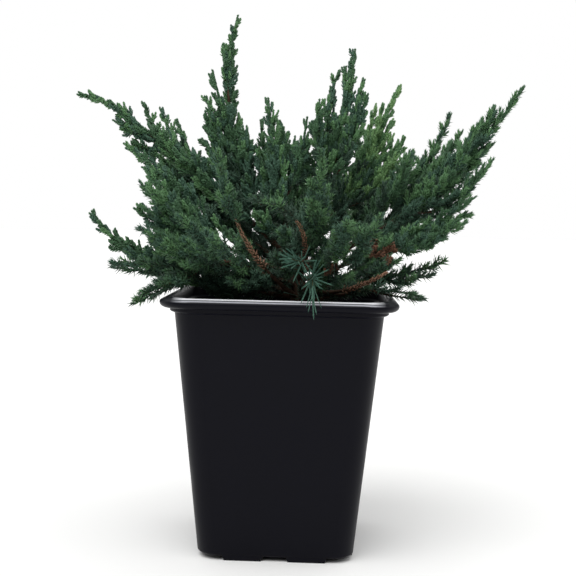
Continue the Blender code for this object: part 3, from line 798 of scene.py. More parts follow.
# %% The trunk and the table of leaders
TRUNK_FOOT = Vector((0.014, 0.0, SOIL_TOP + 0.0003))
TRUNK_HEIGHT = 0.058
TRUNK_LEAN = Vector((-0.006, 0.004, 0.0))
TRUNK_RADIUS = 0.0072
TRUNK_TIP_RADIUS = 0.0046
ROOT_FLARE = 0.0042
FLARE_HEIGHT = 0.007

Leader = namedtuple("Leader", "azimuth reach rise out lift spread fork turn", defaults=(0.0, 0))
Mass = namedtuple("Mass", "seat bare leaders")


def leaders(*rows):
    return tuple(Leader(*row) for row in rows)


MASSES = {
    "left_arch": Mass(0.046, 0.30, leaders(
        (183, 0.182, 0.177, 0.82, 0.179, 0.032),
        (182, 0.151, 0.157, 0.83, 0.142, 0.016, 0.50),
    )),
    "left_crest": Mass(0.040, 0.34, leaders(
        (160, 0.134, 0.174, 0.62, 0.072, 0.030),
        (172, 0.107, 0.161, 0.70, 0.077, 0.017, 0.46),
        (169, 0.140, 0.176, 0.72, 0.087, 0.022, 0.42),
    )),
    "left_face": Mass(0.036, 0.30, leaders(
        (202, 0.131, 0.118, 0.65, 0.052, 0.032),
        (191, 0.136, 0.086, 0.66, 0.052, 0.032, 0.48),
        (186, 0.145, 0.138, 0.77, 0.119, 0.030, 0.42),
        (196, 0.128, 0.104, 0.69, 0.074, 0.028, 0.40),
    )),
    "left_cushion": Mass(0.026, 0.28, leaders(
        (223, 0.124, 0.082, 0.61, 0.042, 0.033),
        (237, 0.117, 0.067, 0.64, 0.044, 0.020, 0.55),
        (201, 0.131, 0.067, 0.59, 0.034, 0.026, 0.40),
    )),
    "left_sweep": Mass(0.016, 0.24, leaders(
        (182, 0.174, 0.081, 0.72, 0.024, 0.038),
        (183, 0.134, 0.046, 0.62, 0.035, 0.028, 0.45),
    )),
    "left_skirt": Mass(0.026, 0.0, leaders(
        (194, 0.154, 0.042, 0.57, 0.042, 0.024),
        (203, 0.138, 0.015, 0.67, 0.050, 0.020, 0.42),
        (208, 0.128, 0.018, 0.78, 0.028, 0.014, 0.50),
    )),
    "tall_spire": Mass(0.056, 0.20, leaders(
        (169, 0.057, 0.247, 1.47, 0.138, 0.034),
        (172, 0.077, 0.201, 0.90, 0.163, 0.016, 0.46),
        (174, 0.081, 0.179, 0.90, 0.140, 0.018, 0.36),
        (174, 0.047, 0.155, 0.96, 0.107, 0.018, 0.34),
        (172, 0.069, 0.220, 0.94, 0.195, 0.009, 0.66),
        (174, 0.082, 0.167, 0.92, 0.121, 0.024, 0.30),
    )),
    "front_rosette": Mass(0.016, 0.42, leaders((229, 0.096, 0.132, 0.90, 0.053, 0.034, 0.0, 5))),
    "centre_spire": Mass(0.058, 0.0, leaders(
        (198, 0.030, 0.177, 0.70, 0.102, 0.032),
        (107, 0.025, 0.149, 0.61, 0.092, 0.024, 0.42),
        (150, 0.042, 0.162, 0.91, 0.092, 0.016, 0.36),
        (166, 0.020, 0.160, 0.59, 0.104, 0.024, 0.45),
        (0, 0.003, 0.163, 0.33, 0.104, 0.024, 0.38),
    )),
    "peak": Mass(0.054, 0.18, leaders(
        (0, 0.041, 0.219, 0.64, 0.113, 0.034),
        (22, 0.030, 0.202, 0.50, 0.181, 0.014, 0.50),
        (319, 0.017, 0.176, 0.38, 0.116, 0.028, 0.45),
        (349, 0.048, 0.193, 0.90, 0.107, 0.026, 0.44),
        (7, 0.034, 0.205, 1.06, 0.158, 0.010, 0.52),
        (356, 0.052, 0.182, 0.86, 0.155, 0.010, 0.48),
    )),
    "peak_face": Mass(0.042, 0.36, leaders((283, 0.077, 0.133, 0.66, 0.046, 0.033))),
    "light_spire": Mass(0.048, 0.24, leaders(
        (29, 0.094, 0.197, 0.46, 0.091, 0.030),
        (44, 0.086, 0.182, 0.80, 0.094, 0.024, 0.50),
        (8, 0.085, 0.149, 0.80, 0.083, 0.024, 0.40),
        (25, 0.083, 0.166, 0.83, 0.125, 0.028, 0.46),
        (21, 0.085, 0.147, 0.92, 0.116, 0.024, 0.36),
    )),
    "right_crest": Mass(0.042, 0.28, leaders(
        (10, 0.126, 0.149, 0.65, 0.069, 0.024),
        (14, 0.128, 0.172, 0.70, 0.075, 0.020, 0.46),
        (352, 0.087, 0.137, 0.94, 0.093, 0.034, 0.32),
        (0, 0.130, 0.155, 0.78, 0.086, 0.022, 0.45),
    )),
    "right_outer": Mass(0.036, 0.26, leaders(
        (356, 0.176, 0.190, 0.67, 0.093, 0.038),
        (348, 0.141, 0.159, 0.80, 0.076, 0.024, 0.45),
        (348, 0.154, 0.131, 0.78, 0.070, 0.022, 0.42),
    )),
    "right_lower": Mass(0.030, 0.26, leaders(
        (345, 0.142, 0.101, 0.67, 0.063, 0.028),
        (338, 0.121, 0.067, 0.69, 0.051, 0.018, 0.44),
        (341, 0.137, 0.081, 0.71, 0.058, 0.022, 0.50),
    )),
    "right_sweep": Mass(0.021, 0.24, leaders((347, 0.119, 0.049, 0.72, 0.035, 0.022))),
    "right_foot": Mass(0.010, 0.0, leaders((331, 0.112, 0.021, 0.69, 0.034, 0.018))),
    "front_spray": Mass(0.030, 0.26, leaders(
        (250, 0.098, 0.095, 0.86, 0.086, 0.026, 0.0, 33),
        (265, 0.102, 0.054, 0.92, 0.043, 0.010, 0.20, 9),
    )),
    "front_hanging": Mass(0.010, 0.0, leaders((276, 0.107, 0.025, 0.74, 0.054, 0.010, 0.0, 4))),
    "front_right": Mass(0.020, 0.30, leaders(
        (306, 0.107, 0.086, 0.62, 0.041, 0.030),
        (293, 0.094, 0.082, 0.66, 0.047, 0.026, 0.42),
    )),
    "back_left_crest": Mass(0.036, 0.28, leaders(
        (141, 0.141, 0.138, 0.62, 0.058, 0.032),
        (125, 0.121, 0.135, 0.70, 0.062, 0.028, 0.44),
    )),
    "back_left_sweep": Mass(0.018, 0.26, leaders(
        (153, 0.166, 0.112, 0.64, 0.037, 0.030),
        (141, 0.154, 0.058, 0.68, 0.033, 0.026, 0.40),
    )),
    "back_spire": Mass(0.052, 0.22, leaders(
        (95, 0.066, 0.148, 0.85, 0.083, 0.032),
        (120, 0.064, 0.144, 0.90, 0.088, 0.026, 0.45),
        (123, 0.066, 0.098, 0.67, 0.074, 0.026, 0.35),
    )),
    "back_fan": Mass(0.030, 0.28, leaders(
        (104, 0.141, 0.134, 0.62, 0.048, 0.032),
        (87, 0.124, 0.110, 0.68, 0.051, 0.028, 0.42),
    )),
    "back_skirt": Mass(0.014, 0.0, leaders(
        (112, 0.157, 0.062, 0.60, 0.040, 0.026),
        (93, 0.136, 0.039, 0.64, 0.049, 0.022, 0.44),
    )),
    "back_right_crest": Mass(0.038, 0.28, leaders(
        (46, 0.121, 0.149, 0.61, 0.059, 0.032),
        (72, 0.111, 0.143, 0.70, 0.065, 0.026, 0.44),
    )),
    "back_right_sweep": Mass(0.020, 0.26, leaders(
        (36, 0.143, 0.103, 0.61, 0.036, 0.028),
        (51, 0.141, 0.067, 0.66, 0.037, 0.026, 0.40),
    )),
}

print("masses", len(MASSES), "leaders", sum(len(mass.leaders) for mass in MASSES.values()))

# %% [markdown]
# ## Small leaders between the main ones
#
# The plain model has only the leaders that give the crown its reach. Between them the real plant has
# shorter ones, which close the gaps lower down. They fork from the same main leaders, by the same rule, and
# end inside the reach. One more twig on the right has lost its green, and shows brown above the rim.

# %% The table of small leaders
SMALL = {
    "left_arch": leaders((182, 0.138, 0.139, 0.84, 0.122, 0.018, 0.50)),
    "left_crest": leaders((172, 0.128, 0.135, 0.88, 0.114, 0.018, 0.40)),
    "left_face": leaders(
        (193, 0.132, 0.088, 0.84, 0.071, 0.022, 0.40),
        (188, 0.127, 0.106, 0.90, 0.082, 0.020, 0.44),
    ),
    "left_cushion": leaders(
        (200, 0.133, 0.072, 0.83, 0.047, 0.022, 0.45),
        (199, 0.125, 0.059, 0.83, 0.039, 0.018, 0.42),
    ),
    "left_sweep": leaders((181, 0.158, 0.059, 0.85, 0.042, 0.016, 0.50)),
    "left_skirt": leaders(
        (205, 0.142, 0.012, 0.79, 0.023, 0.010, 0.50),
        (191, 0.154, 0.039, 0.85, 0.031, 0.010, 0.45),
    ),
    "tall_spire": leaders((177, 0.083, 0.144, 0.88, 0.117, 0.022, 0.26)),
    "centre_spire": leaders(
        (193, 0.037, 0.085, 0.74, 0.064, 0.022, 0.12),
        (174, 0.038, 0.136, 0.87, 0.103, 0.018, 0.25),
    ),
    "peak": leaders((55, 0.007, 0.135, 1.30, 0.106, 0.022, 0.24)),
    "peak_face": leaders((249, 0.036, 0.073, 0.62, 0.049, 0.024, 0.16)),
    "right_crest": leaders((0, 0.091, 0.136, 0.92, 0.112, 0.018, 0.42)),
    "light_spire": leaders(
        (24, 0.073, 0.177, 0.97, 0.146, 0.014, 0.46),
        (22, 0.082, 0.153, 0.94, 0.127, 0.014, 0.40),
    ),
    "right_outer": leaders(
        (357, 0.148, 0.139, 0.91, 0.116, 0.016, 0.52),
        (356, 0.154, 0.173, 0.96, 0.153, 0.010, 0.62),
    ),
    "right_lower": leaders((347, 0.138, 0.088, 0.87, 0.076, 0.018, 0.42)),
    "right_sweep": leaders(
        (344, 0.111, 0.039, 0.81, 0.030, 0.012, 0.36),
        (337, 0.086, 0.051, 0.86, 0.041, 0.014, 0.30),
    ),
    "right_foot": leaders((334, 0.108, 0.020, 0.81, 0.019, 0.008, 0.50)),
    "front_right": leaders((293, 0.052, 0.065, 0.87, 0.041, 0.018, 0.14)),
    "front_spray": leaders((244, 0.049, 0.051, 0.54, 0.034, 0.020, 0.14)),
}
BARE_TWIG = ("right_sweep", Leader(323, 0.084, 0.040, 0.64, 0.015, 0.0, 0.04))
print("small leaders", sum(len(rows) for rows in SMALL.values()))

# %% [markdown]
# ## Curves of the limbs
#
# A limb leaves the stem one way and is drawn up by the light, so it is one smooth bend. A curve of the
# second degree says that with the fewest numbers: where it starts, where it bends, and its tip. A side
# leader starts on its main leader's curve, at the share that its row calls the fork.

# %% Curves from the rows of the tables
START_OUT = 0.003
FORK_HUG = 0.25
CURVE_POINTS = 22
LEADER_END = 0.99


def trunk_axis(height):
    share = height / TRUNK_HEIGHT
    return TRUNK_FOOT + TRUNK_LEAN * share * share + Vector((0, 0, height))


def trunk_radius(height):
    straight = TRUNK_RADIUS + (TRUNK_TIP_RADIUS - TRUNK_RADIUS) * (height / TRUNK_HEIGHT)
    return straight + ROOT_FLARE * math.exp(-height / FLARE_HEIGHT)


def heading(azimuth):
    angle = math.radians(azimuth)
    return Vector((math.cos(angle), math.sin(angle), 0))


def on_curve(start, bend, end, t):
    """The point at t on the curve that leaves start towards bend and comes into end."""
    return start * (1 - t) ** 2 + bend * 2 * t * (1 - t) + end * t * t


def bent(start, bend, end, count, last=1.0):
    """That many points along the curve, from its start to the share last."""
    return [on_curve(start, bend, end, last * i / (count - 1)) for i in range(count)]


def bend_and_tip(leader):
    bend_way = heading(leader.azimuth + leader.turn)
    bend = TRUNK_FOOT + bend_way * leader.reach * leader.out + Vector((0, 0, leader.lift))
    return bend, TRUNK_FOOT + heading(leader.azimuth) * leader.reach + Vector((0, 0, leader.rise))


def main_curve(mass):
    """Start, bend and tip of a mass's main leader. It starts inside the trunk, so that their wood is one."""
    leader = mass.leaders[0]
    return trunk_axis(mass.seat) + heading(leader.azimuth + leader.turn) * START_OUT, *bend_and_tip(leader)


def side_curve(mass, leader):
    fork = on_curve(*main_curve(mass), leader.fork)
    bend, tip = bend_and_tip(leader)
    return fork, bend.lerp(fork, FORK_HUG), tip


def leader_path(mass, leader, end=LEADER_END):
    curve = main_curve(mass) if leader is mass.leaders[0] else side_curve(mass, leader)
    return bent(*curve, CURVE_POINTS, end)


def length_of(points):
    return sum((b - a).length for a, b in zip(points, points[1:]))


print("tallest tip", round(max(TRUNK_FOOT.z + mass.leaders[0].rise for mass in MASSES.values()), 3))

# %% [markdown]
# ## Gaps, bare stems and brown places
#
# The photograph shows sky through the crown, bare stems in front and a few brown sprays. One table gives
# each gap as places across and up from the trunk's foot, each with a radius, and one gives the brown
# places. No shoot is grown that would close a gap or hide a bare stem. What counts is how things line up
# from where the camera stands, so every distance here is measured across the line of sight.

# %% What stays open to the camera
BARE_FRONT = {"front_rosette": (0.28, 0.60), "front_spray": (0.10, 0.54)}
TWIG_SEEN_FROM = 8
STEM_CLEAR = 0.001
STEM_IN_VIEW = 0.0045
SKY_MM = {
    "left_of_the_bare_stem": ((-62, 59, 5.8), (-56, 52, 5.4), (-61, 43, 5.8)),
    "right_of_the_bare_stem": ((-32, 47, 4.1),),
    "right_of_the_long_needles": ((35, 41, 6.6), (43, 60, 4.9)),
    "between_arch_and_crest": ((-137, 163, 3.3), (-132, 157, 4.1)),
    "between_crest_and_spire": ((-96, 158, 4.9), (-92, 150, 5.8), (-92, 141, 3.6)),
    "inside_the_spire": ((-69, 205, 3.7), (-69, 195, 3.7), (-68, 185, 3.7)),
    "right_of_the_spire": ((-40, 151, 4.9),),
    "left_of_the_peak": ((7, 167, 4.1), (0, 151, 4.1)),
    "inside_the_peak": ((28, 188, 3.5), (29, 181, 3.5), (30, 176, 3.3)),
    "between_light_and_crest": ((72, 91, 3.7), (70, 83, 3.3)),
    "under_the_right_tips": ((149, 112, 5.8), (143, 103, 4.9), (127, 69, 4.9), (102, 54, 4.1)),
    "between_the_low_right_tips": ((87, 25, 3.3), (98, 23, 4.1)),
}
BROWN_MM = {
    "over_the_bare_twig": ((72, 54, 9.0), (62, 61, 6.0)),
    "on_the_left_face": ((-99, 102, 5.0),),
}


def in_metres(table):
    return [tuple(value * MM for value in place) for places in table.values() for place in places]


def bare_stem(name):
    """The part of a front leader that has lost its green."""
    points = leader_path(MASSES[name], MASSES[name].leaders[0])
    first, last = (round(CURVE_POINTS * share) for share in BARE_FRONT[name])
    return points[first:last + 1]


def bare_twig():
    name, leader = BARE_TWIG
    return leader_path(MASSES[name], leader)


SKY = in_metres(SKY_MM)
BROWN = in_metres(BROWN_MM)
BARE_STEMS = [point for name in BARE_FRONT for point in bare_stem(name)] + bare_twig()[TWIG_SEEN_FROM:]


def in_line(point, other):
    """How far apart two points look from the camera's place, in metres at the second one."""
    view = other - CAMERA_PLACE
    ahead = view.normalized()
    off = point - CAMERA_PLACE
    return (off * view.length / off.dot(ahead) - view).length


def looks_within(point, places):
    """True where the point looks to be in one of the places of a table."""
    return any(in_line(point, TRUNK_FOOT + Vector((across, 0, up))) < radius for across, up, radius in places)


def kept_open(point):
    """True where a shoot would close a gap to the sky, or hide a bare stem."""
    if looks_within(point, SKY):
        return True
    return any(point.y < stem.y - STEM_CLEAR and in_line(point, stem) < STEM_IN_VIEW for stem in BARE_STEMS)


def dried(point):
    """True in the brown places, on the near side of the crown."""
    return point.y < TRUNK_FOOT.y and looks_within(point, BROWN)


print("gaps", len(SKY), "brown places", len(BROWN), "points on bare stems", len(BARE_STEMS))

# %% [markdown]
# ## How the shoots grow
#
# Side shoots leave a leader by the golden angle, 137.5 degrees round from the last, which is how most stems
# share out light. Each leans forward and then lifts its tip. It carries shorter shoots by the same rule,
# and the longest of those carry the last order of twigs. Towards a tip the shoots stand closer, hug their
# stem and get shorter, so a plume ends in a narrow spire. The rule is one function, which is called for
# every order.

# %% Ways along a path
def frames_along(points):
    """At each point, the way on and a side direction that turns as little as it can."""
    last = len(points) - 1
    ways = [(points[min(i + 1, last)] - points[max(i - 1, 0)]).normalized() for i in range(len(points))]
    side = ways[0].orthogonal().normalized()
    frames = []
    for i, way in enumerate(ways):
        if i:
            side = ways[i - 1].rotation_difference(way) @ side
        side = (side - way * side.dot(way)).normalized()
        frames.append((way, side))
    return frames


def place_along(points, frames, distance):
    """The point, way and side that far along a path."""
    for i, (a, b) in enumerate(zip(points, points[1:])):
        step = (b - a).length
        if distance <= step or i == len(points) - 2:
            share = min(1.0, distance / step)
            way = frames[i][0].lerp(frames[i + 1][0], share).normalized()
            side = frames[i][1].lerp(frames[i + 1][1], share)
            return a.lerp(b, share), way, (side - way * side.dot(way)).normalized()
        distance -= step


print("the bare twig ends pointing", [round(v, 2) for v in frames_along(bare_twig())[-1][0]])

# %% Side shoots along a path
GOLDEN_ANGLE = math.radians(137.508)
LIFT = 0.30
ELBOW = 0.45
PAST_ELBOW = 0.55
STRAIGHTENED = 0.55
CLEAR_OF_POT = 0.0045
END_CLEAR = 0.003
END_SIZE = 0.0018
END_SHARE = 0.85
TIP_HUG = 0.35
TIP_CLOSE = 0.35
UNEVEN = (0.8, 1.2)


def meets_pot(point):
    """True where a shoot at the point would touch the pot or the soil."""
    across = max(abs(point.x), abs(point.y))
    if across > RIM_WIDTH / 2 + CLEAR_OF_POT or point.z > POT_HEIGHT + CLEAR_OF_POT:
        return False
    inside = across < body_half_width(SOIL_TOP) - WALL - CLEAR_OF_POT
    return not inside or point.z < SOIL_TOP + CLEAR_OF_POT


def leaning(way, out, angle):
    """The direction that leaves the way by an angle, towards out."""
    return way * math.cos(angle) + out * math.sin(angle)


def lifted(start, way, out, size, angle):
    """A short shoot that leaves at an angle, then turns towards its parent's way and the light."""
    middle = start + leaning(way, out, angle) * size * ELBOW
    onwards = (leaning(way, out, angle * STRAIGHTENED) + UP * LIFT).normalized()
    return [start, middle, middle + onwards * size * PAST_ELBOW]


def offshoots(points, first, step, angle, size_at, rng, end_clear=END_CLEAR):
    """Side shoots along a path, as pairs of path and share. size_at gives a length at a share of the path."""
    frames = frames_along(points)
    length = length_of(points)
    turn = rng.uniform(0, math.tau)
    place = first
    grown = []
    while place < length - end_clear:
        share = place / length
        start, way, side = place_along(points, frames, place)
        turn += GOLDEN_ANGLE
        out = Quaternion(way, turn) @ side
        size = min(size_at(share), (length - place) * END_SHARE + END_SIZE)
        path = lifted(start, way, out, size, angle * (1 - TIP_HUG * share) * rng.uniform(*UNEVEN))
        if not any(meets_pot(point) or kept_open(point) for point in path[1:]):
            grown.append((path, share))
        place += step * (1 - TIP_CLOSE * share) * rng.uniform(*UNEVEN)
    return grown


print("shoots stand", round(math.degrees(GOLDEN_ANGLE), 1), "degrees round from each other")

# %% [markdown]
# ## The look of each mass
#
# Parts of the crown differ. The tall spires hold short scales that hug the shoot. The feathered plumes on
# the right hold needles half out. The low, shaded sprays are still young, with long spreading needles, and
# a few shoots by the stem bear needles four times as long. Along a leader the needles get shorter and
# closer. So each look gives the needles at a leader's foot and at its tip, the tones to deal out, and how
# close its plumes and branches stand. Whatever the look, sprays deep in the crown get darker tones, which
# are painted shade, and those at the tips fresher.

# %% Looks of the masses
Needles = namedtuple("Needles", "length lean gap width")
Look = namedtuple("Look", "form inner outer step plumes reach angle tones between", defaults=(4.2,))

CLOSE, OPEN = (0.22, 0.31, 0.40, 0.49, 0.58, 0.67), (0.28, 0.40, 0.52)
LOOKS = {
    "spire": Look("scale", Needles(4.6, 32, 1.45, 2.3), Needles(4.2, 28, 1.3, 2.2), 5.2, CLOSE, 0.34, 25,
                  ("mid", "mid", "fresh", "blue")),
    "light": Look("scale", Needles(4.6, 32, 1.45, 2.3), Needles(4.2, 28, 1.3, 2.2), 5.4, CLOSE[:5], 0.30, 27,
                  ("light", "light", "fresh")),
    "arch": Look("scale", Needles(4.8, 34, 1.45, 2.3), Needles(4.3, 30, 1.3, 2.2), 5.0, CLOSE, 0.36, 30,
                 ("mid", "fresh", "mid", "blue")),
    "face": Look("awl", Needles(7.2, 57, 1.8, 1.6), Needles(6.4, 52, 1.6, 1.6), 5.2, CLOSE, 0.46, 38,
                 ("blue", "mid", "blue", "fresh")),
    "feather": Look("awl", Needles(6.0, 48, 1.6, 1.7), Needles(5.0, 40, 1.3, 1.7), 5.2, CLOSE, 0.36, 30,
                    ("mid", "mid", "blue", "fresh")),
    "low": Look("awl", Needles(8.4, 58, 2.2, 1.5), Needles(7.6, 54, 2.0, 1.5), 6.4, OPEN, 0.32, 34,
                ("deep", "blue", "mid"), 9.0),
    "long": Look("blade", Needles(28.0, 38, 7.0, 1.2), Needles(30.0, 26, 6.0, 1.2), 60.0, (), 0.0, 0,
                 ("young",)),
}
WORN_BY = {
    "spire": "tall_spire centre_spire peak back_spire",
    "light": "light_spire",
    "arch": "left_arch left_crest left_face left_sweep back_left_crest",
    "face": "left_cushion front_rosette peak_face front_right",
    "feather": "right_crest right_outer right_lower back_left_sweep back_fan "
               "back_right_crest back_right_sweep",
    "low": "left_skirt right_sweep right_foot front_spray back_skirt",
    "long": "front_hanging",
}
LOOK_OF = {mass: look for look, names in WORN_BY.items() for mass in names.split()}
LONG_SIDE = "front_spray"
# Sprays low on a leader, deep in the crown, get darker tones: painted shade.
SHADED = (0.36, ("deep", "mid", "blue"))
LIT = (0.78, ("fresh", "fresh"))


def look_of(name, number):
    return LOOKS["long" if name == LONG_SIDE and number == 1 else LOOK_OF[name]]


def needles_at(look, share):
    """The needles that stand at a share of the way along a leader."""
    return Needles(*[a + (b - a) * share for a, b in zip(look.inner, look.outer)])


def tones_at(look, share):
    if look is LOOKS["long"]:
        return look.tones
    if share < SHADED[0]:
        return SHADED[1]
    return look.tones + LIT[1] if share > LIT[0] else look.tones


print("masses of each look", {look: len(names.split()) for look, names in WORN_BY.items()})

# %% [markdown]
# ## Growing the foliage
#
# A leader's branches are longest a quarter of the way up it and get shorter towards its tip. Each branch
# with all it carries is one spray, and a spray is mostly of one tone, as on the plant, where a whole spray
# gets the same light. A few inner sprays have dried brown. Each shoot is written down as a record: its
# path, its thickness at both ends, and the needles it wears.

# %% A branch and its spray
BRANCH_ANGLE = math.radians(38)
SHOOT_ANGLE = math.radians(40)
SHORTEST_BRANCH = 0.0070
SHORTEST_SHOOT = 0.0045
BRANCH_TAPER = 0.7
BRANCH_AT_FOOT = 0.6
LONGEST_AT = 0.25
BRANCH_SIZES = (0.7, 1.15)
SHOOT_SHARE = 0.42
SHOOT_SIZES = (0.6, 1.1)
TWIG_SIZES = (0.85, 1.2)
FIRST_SHOOT = 0.0035
TWIG_STEP = 0.0040
TWIG_BEARER = 0.0085
OWN_TONE = 0.7
DRY = Needles(4.5, 24, 2.0, 2.2)
DRY_SHARE = 0.004
INNER_HALF = 0.5
BRANCH_ENDS, SHOOT_ENDS, TWIG_ENDS = (0.0007, 0.0004), (0.0005, 0.0003), (0.0004, 0.0003)

Shoot = namedtuple("Shoot", "points root tip form needles tone")


def branch_size(spread, rng):
    """A function for the length of a branch at a share of its leader."""
    def size_at(share):
        widening = BRANCH_AT_FOOT + (1 - BRANCH_AT_FOOT) * min(1.0, share / LONGEST_AT)
        size = spread * (1 - share) ** BRANCH_TAPER * widening
        return max(SHORTEST_BRANCH, size * rng.uniform(*BRANCH_SIZES))
    return size_at


def grow_branch(path, share, look, rng):
    """A side branch of a leader, with its shoots and their twigs."""
    dry = (share < INNER_HALF and rng.random() < DRY_SHARE) or dried(path[-1])
    tones = tones_at(look, share)
    tone = "dead" if dry else rng.choice(tones)
    needles = DRY if dry else needles_at(look, share)
    form = "scale" if dry else look.form
    size = length_of(path)
    spray = [Shoot(path, *BRANCH_ENDS, form, needles, tone)]
    if look is LOOKS["long"]:
        return spray

    def shoot_size(share):
        return SHORTEST_SHOOT + SHOOT_SHARE * size * (1 - share) * rng.uniform(*SHOOT_SIZES)

    def twig_size(share):
        return SHORTEST_SHOOT * rng.uniform(*TWIG_SIZES)

    for shoot, _ in offshoots(path, FIRST_SHOOT, look.between * MM, SHOOT_ANGLE, shoot_size, rng):
        own = tone if dry or rng.random() < OWN_TONE else rng.choice(tones)
        spray.append(Shoot(shoot, *SHOOT_ENDS, form, needles, own))
        if length_of(shoot) > TWIG_BEARER:
            for twig, _ in offshoots(shoot, FIRST_SHOOT, TWIG_STEP, SHOOT_ANGLE, twig_size, rng):
                spray.append(Shoot(twig, *TWIG_ENDS, form, needles, own))
    return spray


print("shortest branch and shoot", [round(size / MM, 1) for size in (SHORTEST_BRANCH, SHORTEST_SHOOT)], "mm")

# %% A leader with its plumes
LEADER_GREEN = 0.0008
TIP_RADIUS = 0.0005
LEADER_END_CLEAR = 0.0055
CLAD_SHARE = 0.30
TIP_LOOK = 0.8
SHORTEST_PLUME = 0.014
PLUME_SPREAD = 0.30
PLUME_CLAD_FROM = 0.12
PLUME_POINTS = 9
PLUME_BEND = 0.5
PLUME_STRAIGHTENED = 0.7
PLUME_PLACES = (-0.04, 0.04)
PLUME_SIZES = (0.75, 1.1)
PLUME_ANGLES = (0.8, 1.15)


def grow_axis(points, spread, look, clad_from, share_at, rng):
    """The green part of a leader or side plume, and every branch along it."""
    first_clad = max(clad_from, CLAD_SHARE)
    clad = [point for i, point in enumerate(points) if i / (len(points) - 1) >= first_clad]
    needles = needles_at(look, share_at(TIP_LOOK))
    shoots = [Shoot(clad, LEADER_GREEN, TIP_RADIUS, look.form, needles, look.tones[0])]
    first = clad_from * length_of(points)
    sizes = branch_size(spread, rng)
    for path, share in offshoots(points, first, look.step * MM, BRANCH_ANGLE, sizes, rng, LEADER_END_CLEAR):
        shoots += grow_branch(path, share_at(share), look, rng)
    return shoots


def side_plumes(points, look, clad_from, rng):
    """Paths of the plumes that fork from a leader, with the share of the leader where each forks."""
    frames = frames_along(points)
    length = length_of(points)
    turn = rng.uniform(0, math.tau)
    plumes = []
    for share in look.plumes:
        turn += GOLDEN_ANGLE
        place = share + rng.uniform(*PLUME_PLACES)
        if place < clad_from:
            continue
        start, way, side = place_along(points, frames, place * length)
        out = Quaternion(way, turn) @ side
        size = max(SHORTEST_PLUME, look.reach * length * (1 - place) * rng.uniform(*PLUME_SIZES))
        angle = math.radians(look.angle) * rng.uniform(*PLUME_ANGLES)
        onwards = (leaning(way, out, angle * PLUME_STRAIGHTENED) + UP * (LIFT / 2)).normalized()
        bend = start + leaning(way, out, angle) * size * PLUME_BEND
        path = bent(start, bend, start + onwards * size, PLUME_POINTS)
        if not any(meets_pot(point) for point in path[1:]) and not kept_open(path[-1]):
            plumes.append((path, place))
    return plumes


def grow_leader(points, leader, look, clad_from, rng):
    """Everything green on one leader of the tables."""
    shoots = grow_axis(points, leader.spread, look, clad_from, lambda share: share, rng)
    for path, place in side_plumes(points, look, clad_from, rng):
        own = look._replace(tones=look.tones[rng.randrange(len(look.tones)):])
        shoots += grow_axis(path, PLUME_SPREAD * length_of(path), own, PLUME_CLAD_FROM,
                            lambda share: place + (1 - place) * share, rng)
    return shoots


print("plumes are at least", round(SHORTEST_PLUME / MM, 1), "mm long")

# %% [markdown]
# ## Growing the whole plant
#
# Each mass is grown in turn, from its own seed, so that a change to one leaves the others alone. The lower
# part of each leader is barked wood. Close to the trunk a main leader bears only short sprays in the deep
# tone, which is painted shade. The bare stems in front and the bare twig wear dead, rust-brown needles
# instead. One low leader hangs its tip over the rim.

# %% Grow every mass
FIRST_SEED = 400
BOUGH_RADIUS = 0.0023
LEADER_RADIUS = 0.0013
WOOD_TAPER = 1.4
BARK_SHARE = 0.55
SIDE_CLAD_FROM = 0.06
MAIN_CLAD_FROM = 0.14
CLAD_OF_BARE = 0.60
LONG_NEEDLE_END = 0.82
DROOPING = "front_hanging"
DROOP = Vector((0, -0.002, -0.004))
INNER_STEP = 0.0050
INNER_SIZE = 0.012
INNER_SIZES = (0.7, 1.2)
INNER_FROM = 0.05
INNER_PAST = 0.1
INNER_ENDS = (0.0006, 0.0004)
STEM_SCALES = Needles(6.2, 38, 1.6, 1.7)
STEM_RADIUS = 0.0016
TWIG_CLAD_FROM = 10


def inner_sprays(points, clad_from, rng):
    """Short shoots along a bough, between the trunk and where the mass begins, in the deep tone as painted
    shade.
    """
    def size_at(share):
        return INNER_SIZE * rng.uniform(*INNER_SIZES)

    length = length_of(points)
    reach = [point for i, point in enumerate(points) if i / (len(points) - 1) <= clad_from + INNER_PAST]
    grown = offshoots(reach, INNER_FROM * length, INNER_STEP, SHOOT_ANGLE, size_at, rng)
    return [Shoot(path, *INNER_ENDS, "awl", LOOKS["low"].outer, "deep") for path, _ in grown]


def wood_radii(count, root):
    """Radii of the barked part of a limb, which thins quickly past its root."""
    return [LEADER_GREEN + (root - LEADER_GREEN) * (1 - i / (count - 1)) ** WOOD_TAPER for i in range(count)]


def drooped(points):
    """The path with its last step bent down, so that the needles there hang."""
    start = points[-2]
    return points[:-1] + [start + DROOP, start + DROOP * 2]


def grow_mass(name, mass, rng):
    """Every shoot of a mass, and the barked paths of its leaders with their radii."""
    shoots, wood = [], []
    for number, leader in enumerate(mass.leaders + SMALL.get(name, ())):
        look = look_of(name, number)
        points = leader_path(mass, leader, LONG_NEEDLE_END if look is LOOKS["long"] else LEADER_END)
        if name == DROOPING:
            points = drooped(points)
        barked = points[:round(CURVE_POINTS * BARK_SHARE)]
        wood.append((barked, wood_radii(len(barked), LEADER_RADIUS if number else BOUGH_RADIUS)))
        bare = name in BARE_FRONT and not number
        clad_from = SIDE_CLAD_FROM if number else max(MAIN_CLAD_FROM, mass.bare * CLAD_OF_BARE)
        if bare:
            clad_from = BARE_FRONT[name][1]
        shoots += grow_leader(points, leader, look, clad_from, rng)
        if bare:
            shoots.append(Shoot(bare_stem(name), STEM_RADIUS, STEM_RADIUS, "scale", STEM_SCALES, "rust"))
        elif not number:
            shoots += inner_sprays(points, clad_from, rng)
    return shoots, wood


